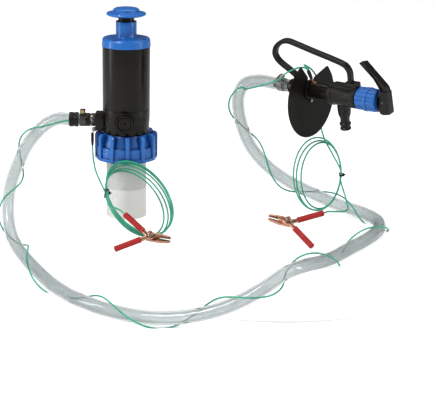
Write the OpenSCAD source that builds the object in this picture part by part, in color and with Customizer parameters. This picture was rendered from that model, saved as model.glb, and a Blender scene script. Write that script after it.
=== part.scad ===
// Hand operated drum pump with a clear delivery hose, a remote tap and two bonding leads.
// Origin: centre of the drum opening on the pump axis, at the height of the drum lid. +Z is up.

/* [Adapter and union nut] */
// Outer radius of the adapter pipe and of its drum thread
pipe_r = 30.15; // [28:0.05:32]
// Wall of the adapter pipe
pipe_wall = 4; // [3:0.5:6]
// Length of the drum thread below the lid
thread_len = 24; // [16:1:32]
// Depth of the drum thread's grooves
thread_depth = 1.2; // [0.8:0.1:1.6]
// Distance between the thread's grooves
thread_pitch = 2.3; // [2:0.1:2.5]
// Step from the thread out to the pipe above it
thread_step = 0.5; // [0.3:0.1:1]
// Height of the pipe from the lid to the collar
pipe_h = 94; // [80:1:120]
// Radius of the threaded collar on top of the pipe
collar_r = 40.9; // [38:0.1:42]
// Height of the collar
collar_h = 11; // [8:1:14]
// Section of the collar's sealing ring
collar_ring_d = 4; // [3:0.5:5]
// Radius of the union nut at its bottom flange
nut_r = 47; // [45:0.5:52]
// Radius of the nut's wall between the ribs
nut_wall_r = 43.6; // [43:0.1:45]
// Height of the union nut
nut_h = 40; // [34:1:48]
// Number of ribs on the union nut
nut_ribs = 12; // [8:1:16]
// Width of a rib
nut_rib_w = 6; // [4:0.5:9]
// Height of the nut's bottom flange
nut_flange_h = 5; // [3:0.5:8]
// Height of the raised band above the flange
nut_band_h = 16; // [6:0.5:18]

/* [Pump body] */
// Outer radius of the barrel
barrel_r = 36; // [34:0.5:40]
// Wall of the barrel
barrel_wall = 4; // [3:0.5:5]
// Length of the barrel between the base and the top cap
barrel_h = 95; // [80:1:130]
// Height of the base above the nut
base_h = 37; // [34:1:48]
// Radius of the base at its lower edge
base_foot_r = 34.5; // [33:0.5:36]
// Radius of the base's neck inside the nut
neck_r = 33; // [31:0.5:34]
// Radius of the flange that the nut pulls down
flange_r = 38; // [36:0.5:40]
// Thickness of that flange
flange_h = 10; // [7:0.5:12]
// Gap between the barrel's inner rim and the air cylinder
shell_gap = 0.1; // [0.1:0.05:0.5]
// Wall of the air cylinder
cylinder_wall = 2.5; // [1.5:0.25:4]
// Radius of the air and liquid passage in the base
passage_r = 6; // [4:0.5:8]

/* [Top cap and plunger] */
// Overhang of the top cap's skirt past the barrel
cap_lip = 1; // [0.5:0.1:2]
// Height of the top cap
cap_h = 13; // [10:0.5:20]
// Rounding of the cap's upper edge
cap_round = 2.5; // [1:0.5:4]
// Height of the guide tower above the cap
tower_h = 25; // [16:1:36]
// Outer radius of the guide tower
tower_r = 15.7; // [15:0.1:18]
// Radius of the cap screws
cap_screw_r = 1.6; // [1.5:0.1:2]
// Distance of the cap screws inside the barrel's surface
cap_screw_in = 4.5; // [4:0.5:6]
// Thickness of the barrel's inner rim inwards of the screws
rim_past_screw = 2.9; // [2.5:0.1:2.9]
// Height of the barrel's inner rim
barrel_rim_h = 14; // [12:1:20]
// Number of cap screws
cap_screws = 4; // [3:1:8]
// Radius of the plunger tube
plunger_r = 12; // [10:0.5:12.5]
// Wall of the plunger tube
plunger_wall = 2; // [1.5:0.25:3]
// Gap between the tower and the knob at rest
knob_gap = 8; // [5:1:14]
// Radius of the knob's disc
knob_r = 30; // [24:0.5:34]
// Thickness of the knob's disc
knob_disc_h = 6; // [4:0.5:8]
// Radius of the knob's raised crown
crown_r = 20; // [14:0.5:22]
// Height of the crown above the disc
crown_h = 6; // [3:0.5:8]
// Thickness of the piston
piston_h = 12; // [9:0.5:16]
// Height of the piston above the cylinder's floor at rest
piston_rest = 3; // [2:0.5:6]

/* [Ports] */
// Height of the outlet axis above the lid
outlet_z = 150; // [148:1:152]
// Width of the outlet block
outlet_w = 24; // [20:1:28]
// Distance that the outlet block stands out of the base
outlet_stand = 11; // [8:1:16]
// Depth of the block's spigot in the base
spigot_depth = 8; // [6:0.5:9]
// Radius of the relief valve's cap
relief_r = 13.4; // [12:0.1:15]
// Height of the relief valve axis above the lid
relief_z = 154; // [150:1:154]
// Distance that the relief cap stands out of the base
relief_stand = 8; // [3:0.5:9]
// Travel of the relief poppet
relief_travel = 3; // [2:0.5:4]

/* [Hose] */
// Outer radius of the hose
hose_r = 9.5; // [8.5:0.5:10.5]
// Radius of the hose tails
tail_r = 6.5; // [6:0.25:7]
// Radius of the waterway in the hose tails
tail_bore_r = 4.5; // [3.5:0.25:5]
// Width of a worm clamp's band
clamp_w = 9; // [7:1:11]
// Thickness of a worm clamp's band
clamp_t = 0.9; // [0.6:0.1:1.4]
// Distance of the outlet's worm clamp from the outlet block
clamp_stand = 15; // [10:1:18]
// Distance of the hose's black sleeve from the outlet block
sleeve_stand = 26; // [25:1:30]
// Distance from the outlet block to the end of its hose tail
tail_stand = 41; // [38:1:44]

/* [Tap] */
// Outer radius of the tap's inlet tube
tube_r = 11.6; // [11:0.1:12]
// Outer radius of the valve body
valve_r = 17; // [16:0.5:18]
// Length of the valve body
valve_len = 50; // [46:1:54]
// Radius of the valve chamber
chamber_r = 10; // [9:0.5:11]
// Radius of the valve stem
stem_r = 4; // [3:0.25:4.5]
// Travel of the valve stem
stem_travel = 6; // [4:0.5:7]
// Radius of the bonnet nut
bonnet_r = 17.5; // [17:0.5:19]
// Length of the bonnet nut
bonnet_len = 34; // [30:1:38]
// Number of ribs on the bonnet nut
bonnet_ribs = 8; // [6:1:12]
// Radius of the splash guard
guard_r = 60; // [50:1:64]
// Drop of the guard's middle below the tube's axis
guard_drop = 14; // [8:1:18]
// Thickness of the splash guard
guard_t = 2.5; // [2:0.25:4]
// Distance of the splash guard from the tap's middle
guard_at = 66; // [62:1:70]
// Length of the spout below the tap's axis
spout_len = 55; // [50:1:66]
// Radius of the spout's bore
spout_bore_r = 5; // [4:0.25:5.5]
// Radius of the wider socket at the spout's end
spout_end_r = 5.5; // [5.25:0.25:5.75]
// Length of that socket
spout_end_len = 30; // [20:1:36]
// Width of the hand loop's bar
loop_w = 9; // [8:0.5:14]
// Thickness of the hand loop's bar
loop_t = 7; // [6:0.5:9]
// Width of the lever's forked foot
lever_w = 14; // [13:0.5:18]
// Width of the lever's arm
lever_arm_w = 10; // [8:0.5:13]
// Radius of the lever's pin
lever_pin_r = 2.5; // [2:0.25:3]

/* [Bonding leads] */
// Radius of the bonding wire
wire_r = 1.25; // [1:0.05:1.3]
// Loops of the coil beside the pump
coil_1_loops = 5; // [3:1:6]
// Loops of the coil under the tap
coil_2_loops = 3; // [2:1:4]
// Length of a clip's jaw from its pivot
jaw_len = 30; // [26:1:36]
// Length of a clip's handle from its pivot
handle_len = 56; // [50:1:66]
// Angle of a clip's handles to its middle line
handle_angle = 36; // [30:1:38]
// Radius of a clip's sleeves
sleeve_r = 4.6; // [4:0.1:5]
// Radius of a clip's pin
clip_pin_r = 2; // [1.75:0.25:2.25]

/* [Hidden] */
$fn = 64;

// Fits
run = 0.05;
seat = 0.02;
gap = 0.3;
over = 1;

// Reach of the parts that stand on the base and barrel
outlet_reach = barrel_r + outlet_stand;
relief_reach = barrel_r + relief_stand;
cap_screw_at = barrel_r - cap_screw_in;
cap_r = barrel_r + cap_lip;
shell_r = cap_screw_at - rim_past_screw - shell_gap;
bore_r = shell_r - cylinder_wall;
spigot_r = tail_bore_r + 4;

// Heights on the pump axis, from the lid up
collar_top = pipe_h + collar_h;
nut_z = collar_top - collar_h - 2;
nut_top = nut_z + nut_h;
flange_top = collar_top + flange_h;
base_z = nut_top + 1;
base_top = base_z + base_h;
barrel_top = base_top + barrel_h;
cap_top = barrel_top + cap_h;
tower_top = cap_top + tower_h;
knob_z = tower_top + knob_gap;
floor_z = base_top + 4;
piston_z = floor_z + piston_rest;

// Shared colours
blue = [0.16, 0.42, 0.86];
black = [0.09, 0.09, 0.1];
steel = [0.72, 0.72, 0.7];
brass = [0.7, 0.56, 0.3];
copper = [0.72, 0.42, 0.28];
green = [0.1, 0.55, 0.42];
red = [0.85, 0.16, 0.12];
rubber = [0.05, 0.05, 0.05];
clear = [0.85, 0.9, 0.92, 0.5];

// Place of the tap at the hose's end, and of the two clips
tap_at = [328, -62, 208];
tap_turn = [12, 0, -38];
clip_1_at = [46, -178, 20];
clip_1_turn = -10;
clip_2_at = [245, -147, 36];
clip_2_turn = 164;
clip_tilt = 38;

// Places along the tap's own axis, from the middle of the valve body
valve_end = valve_len / 2;
tail_start = guard_at + 32;
tail_len = 30;
tail_end = tail_start + tail_len;
bonnet_end = valve_end + bonnet_len;
pivot_at = bonnet_end + 8;
seat_at = -12;

// Route of the hose between its two tails
hose_points = [
    [-outlet_reach - tail_stand, 0, outlet_z], [-outlet_reach - tail_stand - 19, 0, outlet_z],
    [-128, -5, 138], [-149, -12, 114], [-163, -20, 86],
    [-173, -30, 58], [-177, -42, 30], [-174, -62, 0], [-163, -88, -20], [-144, -122, -32],
    [-118, -166, -40], [-88, -215, -45], [-50, -262, -47], [-5, -302, -47], [40, -328, -46],
    [85, -342, -42], [130, -348, -32], [170, -350, -16], [205, -347, 4], [235, -335, 22],
    [262, -308, 24], [286, -270, 17], [308, -228, 11], [334, -182, 9.5], [362, -138, 9.5],
    [383, -92, 9.5], [387, -46, 9.5], [368, -8, 11], [331, 10, 18], [290, 18, 34], [250, 18, 54],
    [215, 18, 80], [189, 20, 112], [175, 26, 148], [171, 36, 178], [180, 44, 200],
    [202, 35, 208], [tap_at.x - tail_end * cos(38), tap_at.y + tail_end * sin(38), tap_at.z]
];
hose_path = smooth(hose_points, 2);

// Turns of the wire that winds loosely round the hose, and its distance from the hose's middle
hose_turns = 10;
wind_r = 14.5;

// Functions for swept tubes
function unit(v) = v / norm(v);
function tangents(p) = [for (i = [0:len(p) - 1])
    i == 0 ? unit(p[1] - p[0])
    : i == len(p) - 1 ? unit(p[i] - p[i - 1])
    : unit(unit(p[i + 1] - p[i]) + unit(p[i] - p[i - 1]))];
function side_of(t) = unit(cross(t, abs(t.z) < 0.9 ? [0, 0, 1] : [0, 1, 0]));
function normals(t) = [for (i = 0, n = side_of(t[0]); i < len(t);
    i = i + 1, n = i < len(t) ? unit(n - (n * t[i]) * t[i]) : n) n];
// Point on a smooth curve through four neighbouring points
function between(a, b, c, d, s) = 0.5 * (2 * b + (c - a) * s + (2 * a - 5 * b + 4 * c - d) * s * s
    + (3 * b - a - 3 * c + d) * s * s * s);
function smooth(p, steps) = [for (i = [0:len(p) - 2]) for (j = [0:steps - 1])
    between(p[max(i - 1, 0)], p[i], p[i + 1], p[min(i + 2, len(p) - 1)], j / steps), p[len(p) - 1]];
function run_length(p) = len(p) < 2 ? 0 : [for (i = 0, s = 0; i < len(p);
    i = i + 1, s = i < len(p) ? s + norm(p[i] - p[i - 1]) : s) s][len(p) - 1];
// Least distance between points of a coil that are half a loop or more apart
function least_gap(p, apart) = min([for (i = [0:len(p) - 1]) for (j = [i + apart:1:len(p) - 1])
    norm(p[i] - p[j])]) - 2 * wire_r;

// Tube swept along points, closed at both ends
module sweep(p, r, sides) {
    t = tangents(p);
    n = normals(t);
    last = (len(p) - 1) * sides;
    points = [for (i = [0:len(p) - 1]) for (s = [0:sides - 1])
        p[i] + r * (cos(360 * s / sides) * n[i] + sin(360 * s / sides) * cross(t[i], n[i]))];
    walls = [for (i = [0:len(p) - 2]) for (s = [0:sides - 1]) for (half = [0, 1])
        let (a = i * sides + s, b = i * sides + (s + 1) % sides)
        half == 0 ? [a, b + sides, b] : [a, a + sides, b + sides]];
    start = [for (s = [1:sides - 2]) [0, s, s + 1]];
    end = [for (s = [1:sides - 2]) [last, last + s + 1, last + s]];
    polyhedron(points, concat(walls, start, end), convexity = 10);
}

// Ring round an axis
module ring(r_out, r_in, h) {
    difference() {
        cylinder(r = r_out, h = h);
        translate([0, 0, -over]) cylinder(r = r_in, h = h + 2 * over);
    }
}

// ---------- Adapter and union nut ----------

module adapter_pipe() {
    color(clear) difference() {
        union() {
            translate([0, 0, -thread_len]) cylinder(r = pipe_r, h = thread_len + over);
            cylinder(r = pipe_r + thread_step, h = pipe_h + over);
            translate([0, 0, pipe_h]) cylinder(r = collar_r, h = collar_h);
        }
        translate([0, 0, -thread_len - over])
            cylinder(r = pipe_r - pipe_wall, h = thread_len + collar_top + 2 * over);
        for (z = [-thread_len + 3 : thread_pitch : -3]) translate([0, 0, z]) thread_groove();
        translate([0, 0, collar_top - collar_ring_d + 0.5])
            ring(ring_mid + collar_ring_d / 2 + 0.1, ring_mid - collar_ring_d / 2 - 0.1, collar_ring_d);
    }
}

ring_mid = pipe_r + 3;

module thread_groove() {
    rotate_extrude() polygon([[pipe_r - thread_depth, 0], [pipe_r + 1, -1], [pipe_r + 1, 1]]);
}

module adapter_ring() {
    color(rubber) translate([0, 0, collar_top - collar_ring_d + 0.5])
        ring(ring_mid + collar_ring_d / 2, ring_mid - collar_ring_d / 2, collar_ring_d - 0.5);
}

// Wall above the nut's band, up to the shoulder that slopes in to the neck
nut_waist_r = flange_r + 2.2;
nut_shoulder_z = flange_top - nut_z + 3;
nut_lip = 2.5;
rib_phase = 0.2;

module nut_rib() {
    x_in = neck_r + 1.5;
    rib_top = nut_h + 1.5;
    rotate([90, 0, 0]) translate([0, 0, -nut_rib_w / 2]) linear_extrude(nut_rib_w) polygon([
        [x_in, nut_h - 9], [x_in, nut_h - 2], [nut_r - 7, rib_top], [nut_r - 2, rib_top - 0.5],
        [nut_r + 1, rib_top - 4], [nut_r + 1, 0], [nut_wall_r - 2, 0], [nut_wall_r - 2, nut_shoulder_z - 14],
        [nut_waist_r - 1.5, nut_shoulder_z - 12], [nut_waist_r - 1.5, nut_shoulder_z]
    ]);
}

module union_nut() {
    color(blue) translate([0, 0, nut_z]) difference() {
        union() {
            cylinder(r = nut_r, h = nut_flange_h);
            cylinder(r = nut_wall_r + 1, h = nut_flange_h + nut_band_h);
            cylinder(r = nut_waist_r, h = nut_shoulder_z);
            translate([0, 0, nut_shoulder_z])
                cylinder(r1 = nut_waist_r, r2 = neck_r + nut_lip, h = nut_h - nut_shoulder_z);
            for (i = [0:nut_ribs - 1]) rotate([0, 0, 360 * (i + rib_phase) / nut_ribs]) nut_rib();
        }
        translate([0, 0, -over]) cylinder(r = collar_r + run, h = collar_top - nut_z + over);
        translate([0, 0, -over]) cylinder(r = flange_r + run, h = flange_top - nut_z + over);
        translate([0, 0, flange_top - nut_z - over]) cylinder(r = neck_r + gap, h = nut_h + 3 * over);
    }
}

// ---------- Pump body ----------

base_cut_r = 9.6;
check_at = 15;
check_r = 4;

module base() {
    color(black) difference() {
        union() {
            translate([0, 0, base_z]) cylinder(r1 = base_foot_r, r2 = barrel_r, h = base_h - 13);
            translate([0, 0, base_top - 13]) cylinder(r = barrel_r, h = 13);
            translate([0, 0, flange_top - over]) cylinder(r = neck_r, h = base_z - flange_top + 2 * over);
            translate([0, 0, collar_top]) cylinder(r = flange_r, h = flange_h);
            translate([0, -base_foot_r + 6, relief_z]) rotate([90, 0, 0])
                cylinder(r = relief_r + 2.4, h = relief_reach - base_foot_r + 4);
        }
        translate([0, 0, collar_top - over]) cylinder(r = base_cut_r, h = 24);
        translate([0, 0, collar_top]) cylinder(r = passage_r, h = outlet_z - collar_top);
        translate([0, 0, outlet_z]) sphere(r = passage_r);
        translate([-barrel_r - over, 0, outlet_z]) rotate([0, 90, 0])
            cylinder(r = tail_bore_r, h = barrel_r + over);
        translate([-barrel_r - over, 0, outlet_z]) rotate([0, 90, 0])
            cylinder(r = spigot_r, h = spigot_depth + 1 + over);
        translate([check_at, 0, collar_top - over]) cylinder(r = check_r - 1, h = base_top - collar_top);
        translate([check_at, 0, base_top - 12]) cylinder(r = check_r + 2, h = 12 + over);
        translate([0, -relief_reach - over, relief_z]) rotate([-90, 0, 0])
            cylinder(r = 9, h = relief_reach - 14 + over);
        translate([0, -16, collar_top - over]) cylinder(r = 3, h = relief_z - collar_top);
        translate([0, -20, relief_z]) rotate([-90, 0, 0]) cylinder(r = 3, h = 7);
        translate([0, 0, base_top - 13]) ring(barrel_r + over, barrel_r - 0.5, 0.8);
    }
}

module barrel() {
    color(black) translate([0, 0, base_top]) difference() {
        union() {
            ring(barrel_r, barrel_r - barrel_wall, barrel_h);
            translate([0, 0, barrel_h - barrel_rim_h])
                ring(barrel_r - 1, cap_screw_at - rim_past_screw, barrel_rim_h);
        }
        for (i = [0:cap_screws - 1]) rotate([0, 0, cap_angle(i)]) translate([cap_screw_at, 0, barrel_h - 10])
            cylinder(r = cap_screw_r, h = 10 + over);
    }
}

function cap_angle(i) = 360 * i / cap_screws + 150;

module air_cylinder() {
    color([0.8, 0.8, 0.78]) translate([0, 0, base_top]) difference() {
        cylinder(r = shell_r, h = barrel_h - 2);
        translate([0, 0, floor_z - base_top]) cylinder(r = bore_r, h = barrel_h);
        translate([check_at, 0, -over]) cylinder(r = check_r - 1.5, h = floor_z - base_top + 2 * over);
    }
}

module cylinder_ring() {
    color(rubber) translate([0, 0, barrel_top - 2]) ring(shell_r, bore_r + 0.5, 2);
}

module check_valve() {
    color(rubber) translate([check_at, 0, base_top - 1.6]) difference() {
        cylinder(r = check_r + 1.9, h = 1.6);
        translate([0, 0, -over]) cylinder(r = 0.6, h = 1.6 + 2 * over);
    }
}

// ---------- Top cap and plunger ----------

module top_cap() {
    color(blue) translate([0, 0, barrel_top]) difference() {
        union() {
            rotate_extrude() polygon([
                [plunger_r, 0], [cap_r, 0], [cap_r - 1, cap_h - cap_round],
                [cap_r - 1 - cap_round * 0.3, cap_h - cap_round * 0.3], [cap_r - 1 - cap_round, cap_h],
                [plunger_r, cap_h]
            ]);
            translate([0, 0, cap_h]) cylinder(r1 = tower_r + 2, r2 = tower_r, h = 4);
            translate([0, 0, cap_h]) cylinder(r = tower_r, h = tower_h);
        }
        translate([0, 0, -over]) cylinder(r = plunger_r + 2, h = cap_h + tower_h - 3);
        translate([0, 0, -over]) cylinder(r = plunger_r + gap, h = cap_h + tower_h + 2 * over);
        for (i = [0:cap_screws - 1]) rotate([0, 0, cap_angle(i)]) translate([cap_screw_at, 0, 0]) {
            translate([0, 0, -over]) cylinder(r = cap_screw_r, h = cap_h + 2 * over);
            translate([0, 0, cap_h - 3]) cylinder(r = cap_screw_r + 1.6, h = 3 + over);
        }
    }
}

module cap_screws() {
    color(steel) for (i = [0:cap_screws - 1])
        rotate([0, 0, cap_angle(i)]) translate([cap_screw_at, 0, barrel_top - 10]) difference() {
            union() {
                cylinder(r = cap_screw_r, h = 10 + cap_h - 3);
                translate([0, 0, 7 + cap_h]) cylinder(r = cap_screw_r + 1.4, h = 2.2);
            }
            translate([-cap_screw_r, -0.4, 8.2 + cap_h]) cube([2 * cap_screw_r, 0.8, 2]);
            translate([-0.4, -cap_screw_r, 8.2 + cap_h]) cube([0.8, 2 * cap_screw_r, 2]);
        }
}

module guide_bush() {
    color([0.9, 0.9, 0.85]) translate([0, 0, barrel_top])
        ring(plunger_r + 2 - seat, plunger_r + run, cap_h + tower_h - 4);
}

module plunger_tube() {
    color(black) translate([0, 0, piston_z + piston_h]) difference() {
        cylinder(r = plunger_r, h = knob_z - piston_z - piston_h + 4);
        translate([0, 0, 6]) cylinder(r = plunger_r - plunger_wall, h = knob_z - piston_z);
        translate([0, 0, -over]) cylinder(r = 3, h = 8);
    }
}

module piston() {
    color([0.85, 0.85, 0.8]) translate([0, 0, piston_z]) difference() {
        cylinder(r = bore_r - gap, h = piston_h);
        translate([0, 0, -over]) cylinder(r = 3, h = piston_h + 2 * over);
        translate([0, 0, -over]) cylinder(r = 6.5, h = 3 + over);
        translate([0, 0, piston_h / 2 - 1.5]) ring(bore_r + over, bore_r - 3, 3);
    }
}

module piston_seal() {
    color(rubber) translate([0, 0, piston_z + piston_h / 2 - 1.5]) ring(bore_r - run, bore_r - 3, 3);
}

module piston_bolt() {
    color(steel) translate([0, 0, piston_z]) {
        cylinder(r = 3, h = piston_h + 12);
        translate([0, 0, 0.5]) cylinder(r = 5.5, h = 2.5, $fn = 6);
        translate([0, 0, piston_h + 6]) cylinder(r = 5.5, h = 5, $fn = 6);
    }
}

module knob() {
    color(blue) translate([0, 0, knob_z]) difference() {
        rotate_extrude() polygon([
            [0, 0], [knob_r - 3, 0], [knob_r - 0.6, 1.2], [knob_r, 2.6], [knob_r - 0.8, 3.8],
            [knob_r - 4, knob_disc_h - 1], [crown_r + 1, knob_disc_h], [crown_r, knob_disc_h + 1],
            [crown_r - 0.8, knob_disc_h + crown_h - 2.4], [crown_r - 3, knob_disc_h + crown_h - 0.9],
            [crown_r - 9, knob_disc_h + crown_h], [0, knob_disc_h + crown_h]
        ]);
        translate([0, 0, -over]) cylinder(r = plunger_r, h = 4 + over);
    }
}

// ---------- Relief valve ----------

relief_seat = 20;

module relief_place() {
    translate([0, -relief_seat, relief_z]) rotate([90, 0, 0]) children();
}

module relief_cap() {
    inner = relief_reach - relief_seat;
    color(black) relief_place() difference() {
        union() {
            translate([0, 0, 8]) cylinder(r = 9, h = inner - 8);
            translate([0, 0, inner]) cylinder(r = relief_r, h = 2.2);
            translate([0, 0, inner]) ring(relief_r, relief_r - 2.4, 3.6);
        }
        translate([0, 0, 7]) cylinder(r = 6, h = inner - 9);
        translate([0, 0, inner - 4]) cylinder(r = 1.2, h = 10);
    }
}

module relief_poppet() {
    color(brass) relief_place() {
        translate([0, 0, 0.05]) cylinder(r = 6, h = 3);
        translate([0, 0, 3]) cylinder(r = 2.2, h = 4);
    }
}

module relief_spring() {
    color(steel) relief_place() translate([0, 0, 3.05])
        ring(4.6, 3.4, relief_reach - relief_seat - 5.1 - relief_travel);
}

// ---------- Outlet ----------

module outlet_block() {
    block_h = 27;
    spigot_end = outlet_reach - barrel_r + spigot_depth;
    color(black) difference() {
        union() {
            translate([-outlet_reach, -outlet_w / 2, outlet_z - 15])
                cube([spigot_end, outlet_w, block_h]);
            translate([-outlet_reach + 2, 0, outlet_z]) rotate([0, 90, 0])
                cylinder(r = spigot_r - seat, h = spigot_end - 2);
        }
        difference() {
            translate([0, 0, outlet_z - 20]) cylinder(r = barrel_r + seat, h = 40);
            translate([-outlet_reach, 0, outlet_z]) rotate([0, 90, 0])
                cylinder(r = spigot_r - seat, h = spigot_end);
        }
        translate([-outlet_reach - over, 0, outlet_z]) rotate([0, 90, 0])
            cylinder(r = tail_bore_r, h = outlet_reach);
    }
}

module outlet_tail() {
    color(steel) translate([-outlet_reach, 0, outlet_z]) rotate([0, -90, 0]) difference() {
        union() {
            cylinder(r = 10.5, h = 7, $fn = 6);
            cylinder(r = tail_r, h = tail_stand);
        }
        translate([0, 0, -over]) cylinder(r = tail_bore_r, h = tail_stand + 2 * over);
    }
}

// Worm clamp along +Z with its screw housing on +X
module worm_clamp() {
    difference() {
        union() {
            ring(hose_r + seat + clamp_t, hose_r + seat, clamp_w);
            translate([hose_r + 0.3, -5, 0.5]) cube([6.5, 10, clamp_w - 1]);
        }
        translate([0, 0, -over]) cylinder(r = hose_r + seat, h = clamp_w + 2 * over);
        translate([hose_r + 3.8, -6, clamp_w / 2]) rotate([-90, 0, 0]) cylinder(r = 2.2, h = 12);
    }
}

module worm_screw() {
    translate([hose_r + 3.8, -7.4, clamp_w / 2]) rotate([-90, 0, 0]) difference() {
        union() {
            cylinder(r = 3.6, h = 2.4, $fn = 6);
            cylinder(r = 2.2 - seat, h = 12);
        }
        translate([-0.5, -3, -over]) cube([1, 6, 1 + over]);
    }
}

module outlet_clamp_place() {
    translate([-outlet_reach - clamp_stand, 0, outlet_z]) rotate([0, -90, 0]) children();
}

module outlet_clamp() {
    color(steel) outlet_clamp_place() worm_clamp();
}

module outlet_sleeve() {
    color(black) translate([-outlet_reach - sleeve_stand, 0, outlet_z]) rotate([0, -90, 0]) difference() {
        union() {
            cylinder(r = hose_r + 1.8, h = 5.5);
            translate([0, 0, 5]) cylinder(r = hose_r + 1.2, h = 3);
            translate([0, 0, 7.5]) cylinder(r = hose_r + 1.8, h = 6.5);
        }
        translate([0, 0, -over]) cylinder(r = hose_r + seat, h = 20);
    }
}

module clamp_screws() {
    color(brass) outlet_clamp_place() worm_screw();
    color(brass) tap_place() tap_clamp_place() worm_screw();
}

// Ring lug screwed to the outlet block's face, with its crimped sleeve hanging down beside the nut
lug_y = -9;
lug_z = outlet_z - 13;
lug_sleeve_h = 20;

module ground_lug() {
    color(steel) translate([-outlet_reach, lug_y, lug_z]) rotate([0, -90, 0]) difference() {
        union() {
            cylinder(r = 3.4, h = 3.6);
            translate([0, 0, 3.6]) cylinder(r = 2.4, h = 1.6, $fn = 6);
        }
        translate([0, 0, 4.2]) cylinder(r = 1, h = 2);
    }
    color(steel) translate([-outlet_reach - 3.6, lug_y - 1.6, lug_z - 8]) cube([1.2, 3.2, 8]);
    color(black) translate([-outlet_reach - 4.2, lug_y, lug_z - 5 - lug_sleeve_h])
        cylinder(r = 2.3, h = lug_sleeve_h);
}

// ---------- Places on the tap ----------

loop_foot = -79;
loop_screw_r = 1.6;
loop_head_z = 18.6;
lug_at = -53;
lug_turn = 8;

// A point of the tap's own frame in the part's frame
function tap_point(p) = let (y = p.y * cos(tap_turn.x) - p.z * sin(tap_turn.x),
    z = p.y * sin(tap_turn.x) + p.z * cos(tap_turn.x), a = tap_turn.z)
    tap_at + [p.x * cos(a) - y * sin(a), p.x * sin(a) + y * cos(a), z];

// The lug's sleeve leans towards the guard, and both wires leave its open end
sleeve_end = 21;
sleeve_lean = 15;
function sleeve_point(side, along) =
    let (x = lug_at - 2 - along * sin(sleeve_lean), z = tube_r + 0.8 + along * cos(sleeve_lean))
    tap_point([x, side * cos(lug_turn) - z * sin(lug_turn), side * sin(lug_turn) + z * cos(lug_turn)]);

// The winding wire's stretch from the pump's sleeve to its first turn, and from its last turn to the tap
wire_start = [[-87, -11, 150], [-94, -13, 150]];
wire_end = [tap_point([-112, -15, 12]), tap_point([-97, -14, 25]), tap_point([-81, -12, 34]),
    tap_point([-68, -11, 38.5]), sleeve_point(-1.4, sleeve_end + 4), sleeve_point(-1.4, sleeve_end)];

// ---------- Hose ----------

module hose() {
    color(clear) sweep(hose_path, hose_r, 12);
}

module hose_ends() {
    color(clear) translate([-outlet_reach - 7, 0, outlet_z]) rotate([0, -90, 0])
        ring(hose_r, tail_r + seat, tail_stand - 7);
    color(clear) tap_place() translate([-tail_end, 0, 0]) rotate([0, 90, 0])
        ring(hose_r, tail_r + seat, tail_len - 2);
}

function wind(p, t, n, r, a) = p + r * (cos(a) * n + sin(a) * cross(t, n));

module hose_wire() {
    p = smooth(hose_points, 4);
    t = tangents(p);
    n = normals(t);
    last = len(p) - 1;
    body = [for (i = [8:last - 8]) wind(p[i], t[i], n[i], wind_r, 360 * hose_turns * i / last)];
    color(green) sweep(smooth(concat(wire_start, body, wire_end), 1), wire_r, 6);
}

// ---------- Tap ----------

module tap_place() {
    translate(tap_at) rotate(tap_turn) children();
}

module tap_clamp_place() {
    translate([-tail_end + 9, 0, 0]) rotate([0, 90, 0]) rotate([0, 0, 200]) children();
}

module tap_clamp() {
    color(steel) tap_place() tap_clamp_place() worm_clamp();
}

module tap_tube() {
    color(black) tap_place() difference() {
        union() {
            translate([-tail_start, 0, 0]) rotate([0, 90, 0])
                cylinder(r = tube_r, h = tail_start - valve_end + 8);
            translate([-tail_end, 0, 0]) rotate([0, 90, 0]) cylinder(r = tail_r, h = tail_len + over);
        }
        translate([-tail_end - over, 0, 0]) rotate([0, 90, 0])
            cylinder(r = tail_bore_r, h = tail_end);
        translate([loop_foot, 0, 4]) cylinder(r = loop_screw_r, h = tube_r);
    }
}

module valve_body() {
    color(black) tap_place() difference() {
        union() {
            translate([-valve_end, 0, 0]) rotate([0, 90, 0]) cylinder(r = valve_r, h = valve_len);
            translate([valve_end - over, 0, 0]) rotate([0, 90, 0]) cylinder(r = valve_r - 4, h = 11);
            translate([-4, 0, -valve_r - 5]) cylinder(r = spout_bore_r + 5, h = valve_r);
            translate([4, -7, 0]) cube([valve_end - 4, 14, valve_r + 6]);
        }
        translate([-valve_end - over, 0, 0]) rotate([0, 90, 0]) cylinder(r = tube_r + seat, h = 9);
        translate([-valve_end, 0, 0]) rotate([0, 90, 0]) cylinder(r = tail_bore_r, h = valve_len);
        translate([seat_at, 0, 0]) rotate([0, 90, 0]) cylinder(r = chamber_r, h = valve_len + 2);
        translate([-4, 0, -valve_r - 6]) cylinder(r = spout_bore_r, h = valve_r + 4);
        translate([-4, 0, -valve_r - 6]) cylinder(r = spout_bore_r + 2, h = 6);
        translate([12, 0, valve_r - 3]) cylinder(r = 1.6, h = 12);
    }
}

module valve_seat() {
    color(rubber) tap_place() translate([seat_at, 0, 0]) rotate([0, 90, 0])
        ring(chamber_r - seat, tail_bore_r, 3);
}

function left_of(t) = [-t.y, t.x];

// Flat bar bent along a smooth line
module bar_outline(p, w) {
    t = tangents([for (q = p) [q.x, q.y, 0]]);
    polygon(concat([for (i = [0:len(p) - 1]) p[i] + left_of(t[i]) * w / 2],
        [for (i = [len(p) - 1:-1:0]) p[i] - left_of(t[i]) * w / 2]));
}

loop_points = [
    [-72, 15], [-82, 17.5], [-93, 24.5], [-103, 30.5], [-112, 36], [-118.5, 42], [-122, 50], [-119, 60],
    [-111, 68], [-103, 72], [-95, 73], [-84, 71], [-50, 62.5], [-20, 55.5], [0, 50], [7, 46],
    [11, 40], [12, 35], [12, 29], [12, valve_r + 6]
];

module hand_loop() {
    color(black) tap_place() difference() {
        translate([0, loop_w / 2, 0]) rotate([90, 0, 0]) linear_extrude(loop_w)
            bar_outline(smooth(loop_points, 2), loop_t);
        translate([-tail_start, 0, 0]) rotate([0, 90, 0])
            cylinder(r = tube_r + seat, h = tail_start);
        translate([loop_foot, 0, 4]) cylinder(r = loop_screw_r, h = 30);
        translate([loop_foot, 0, loop_head_z]) cylinder(r = loop_screw_r + 1.9, h = 10);
    }
}

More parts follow.
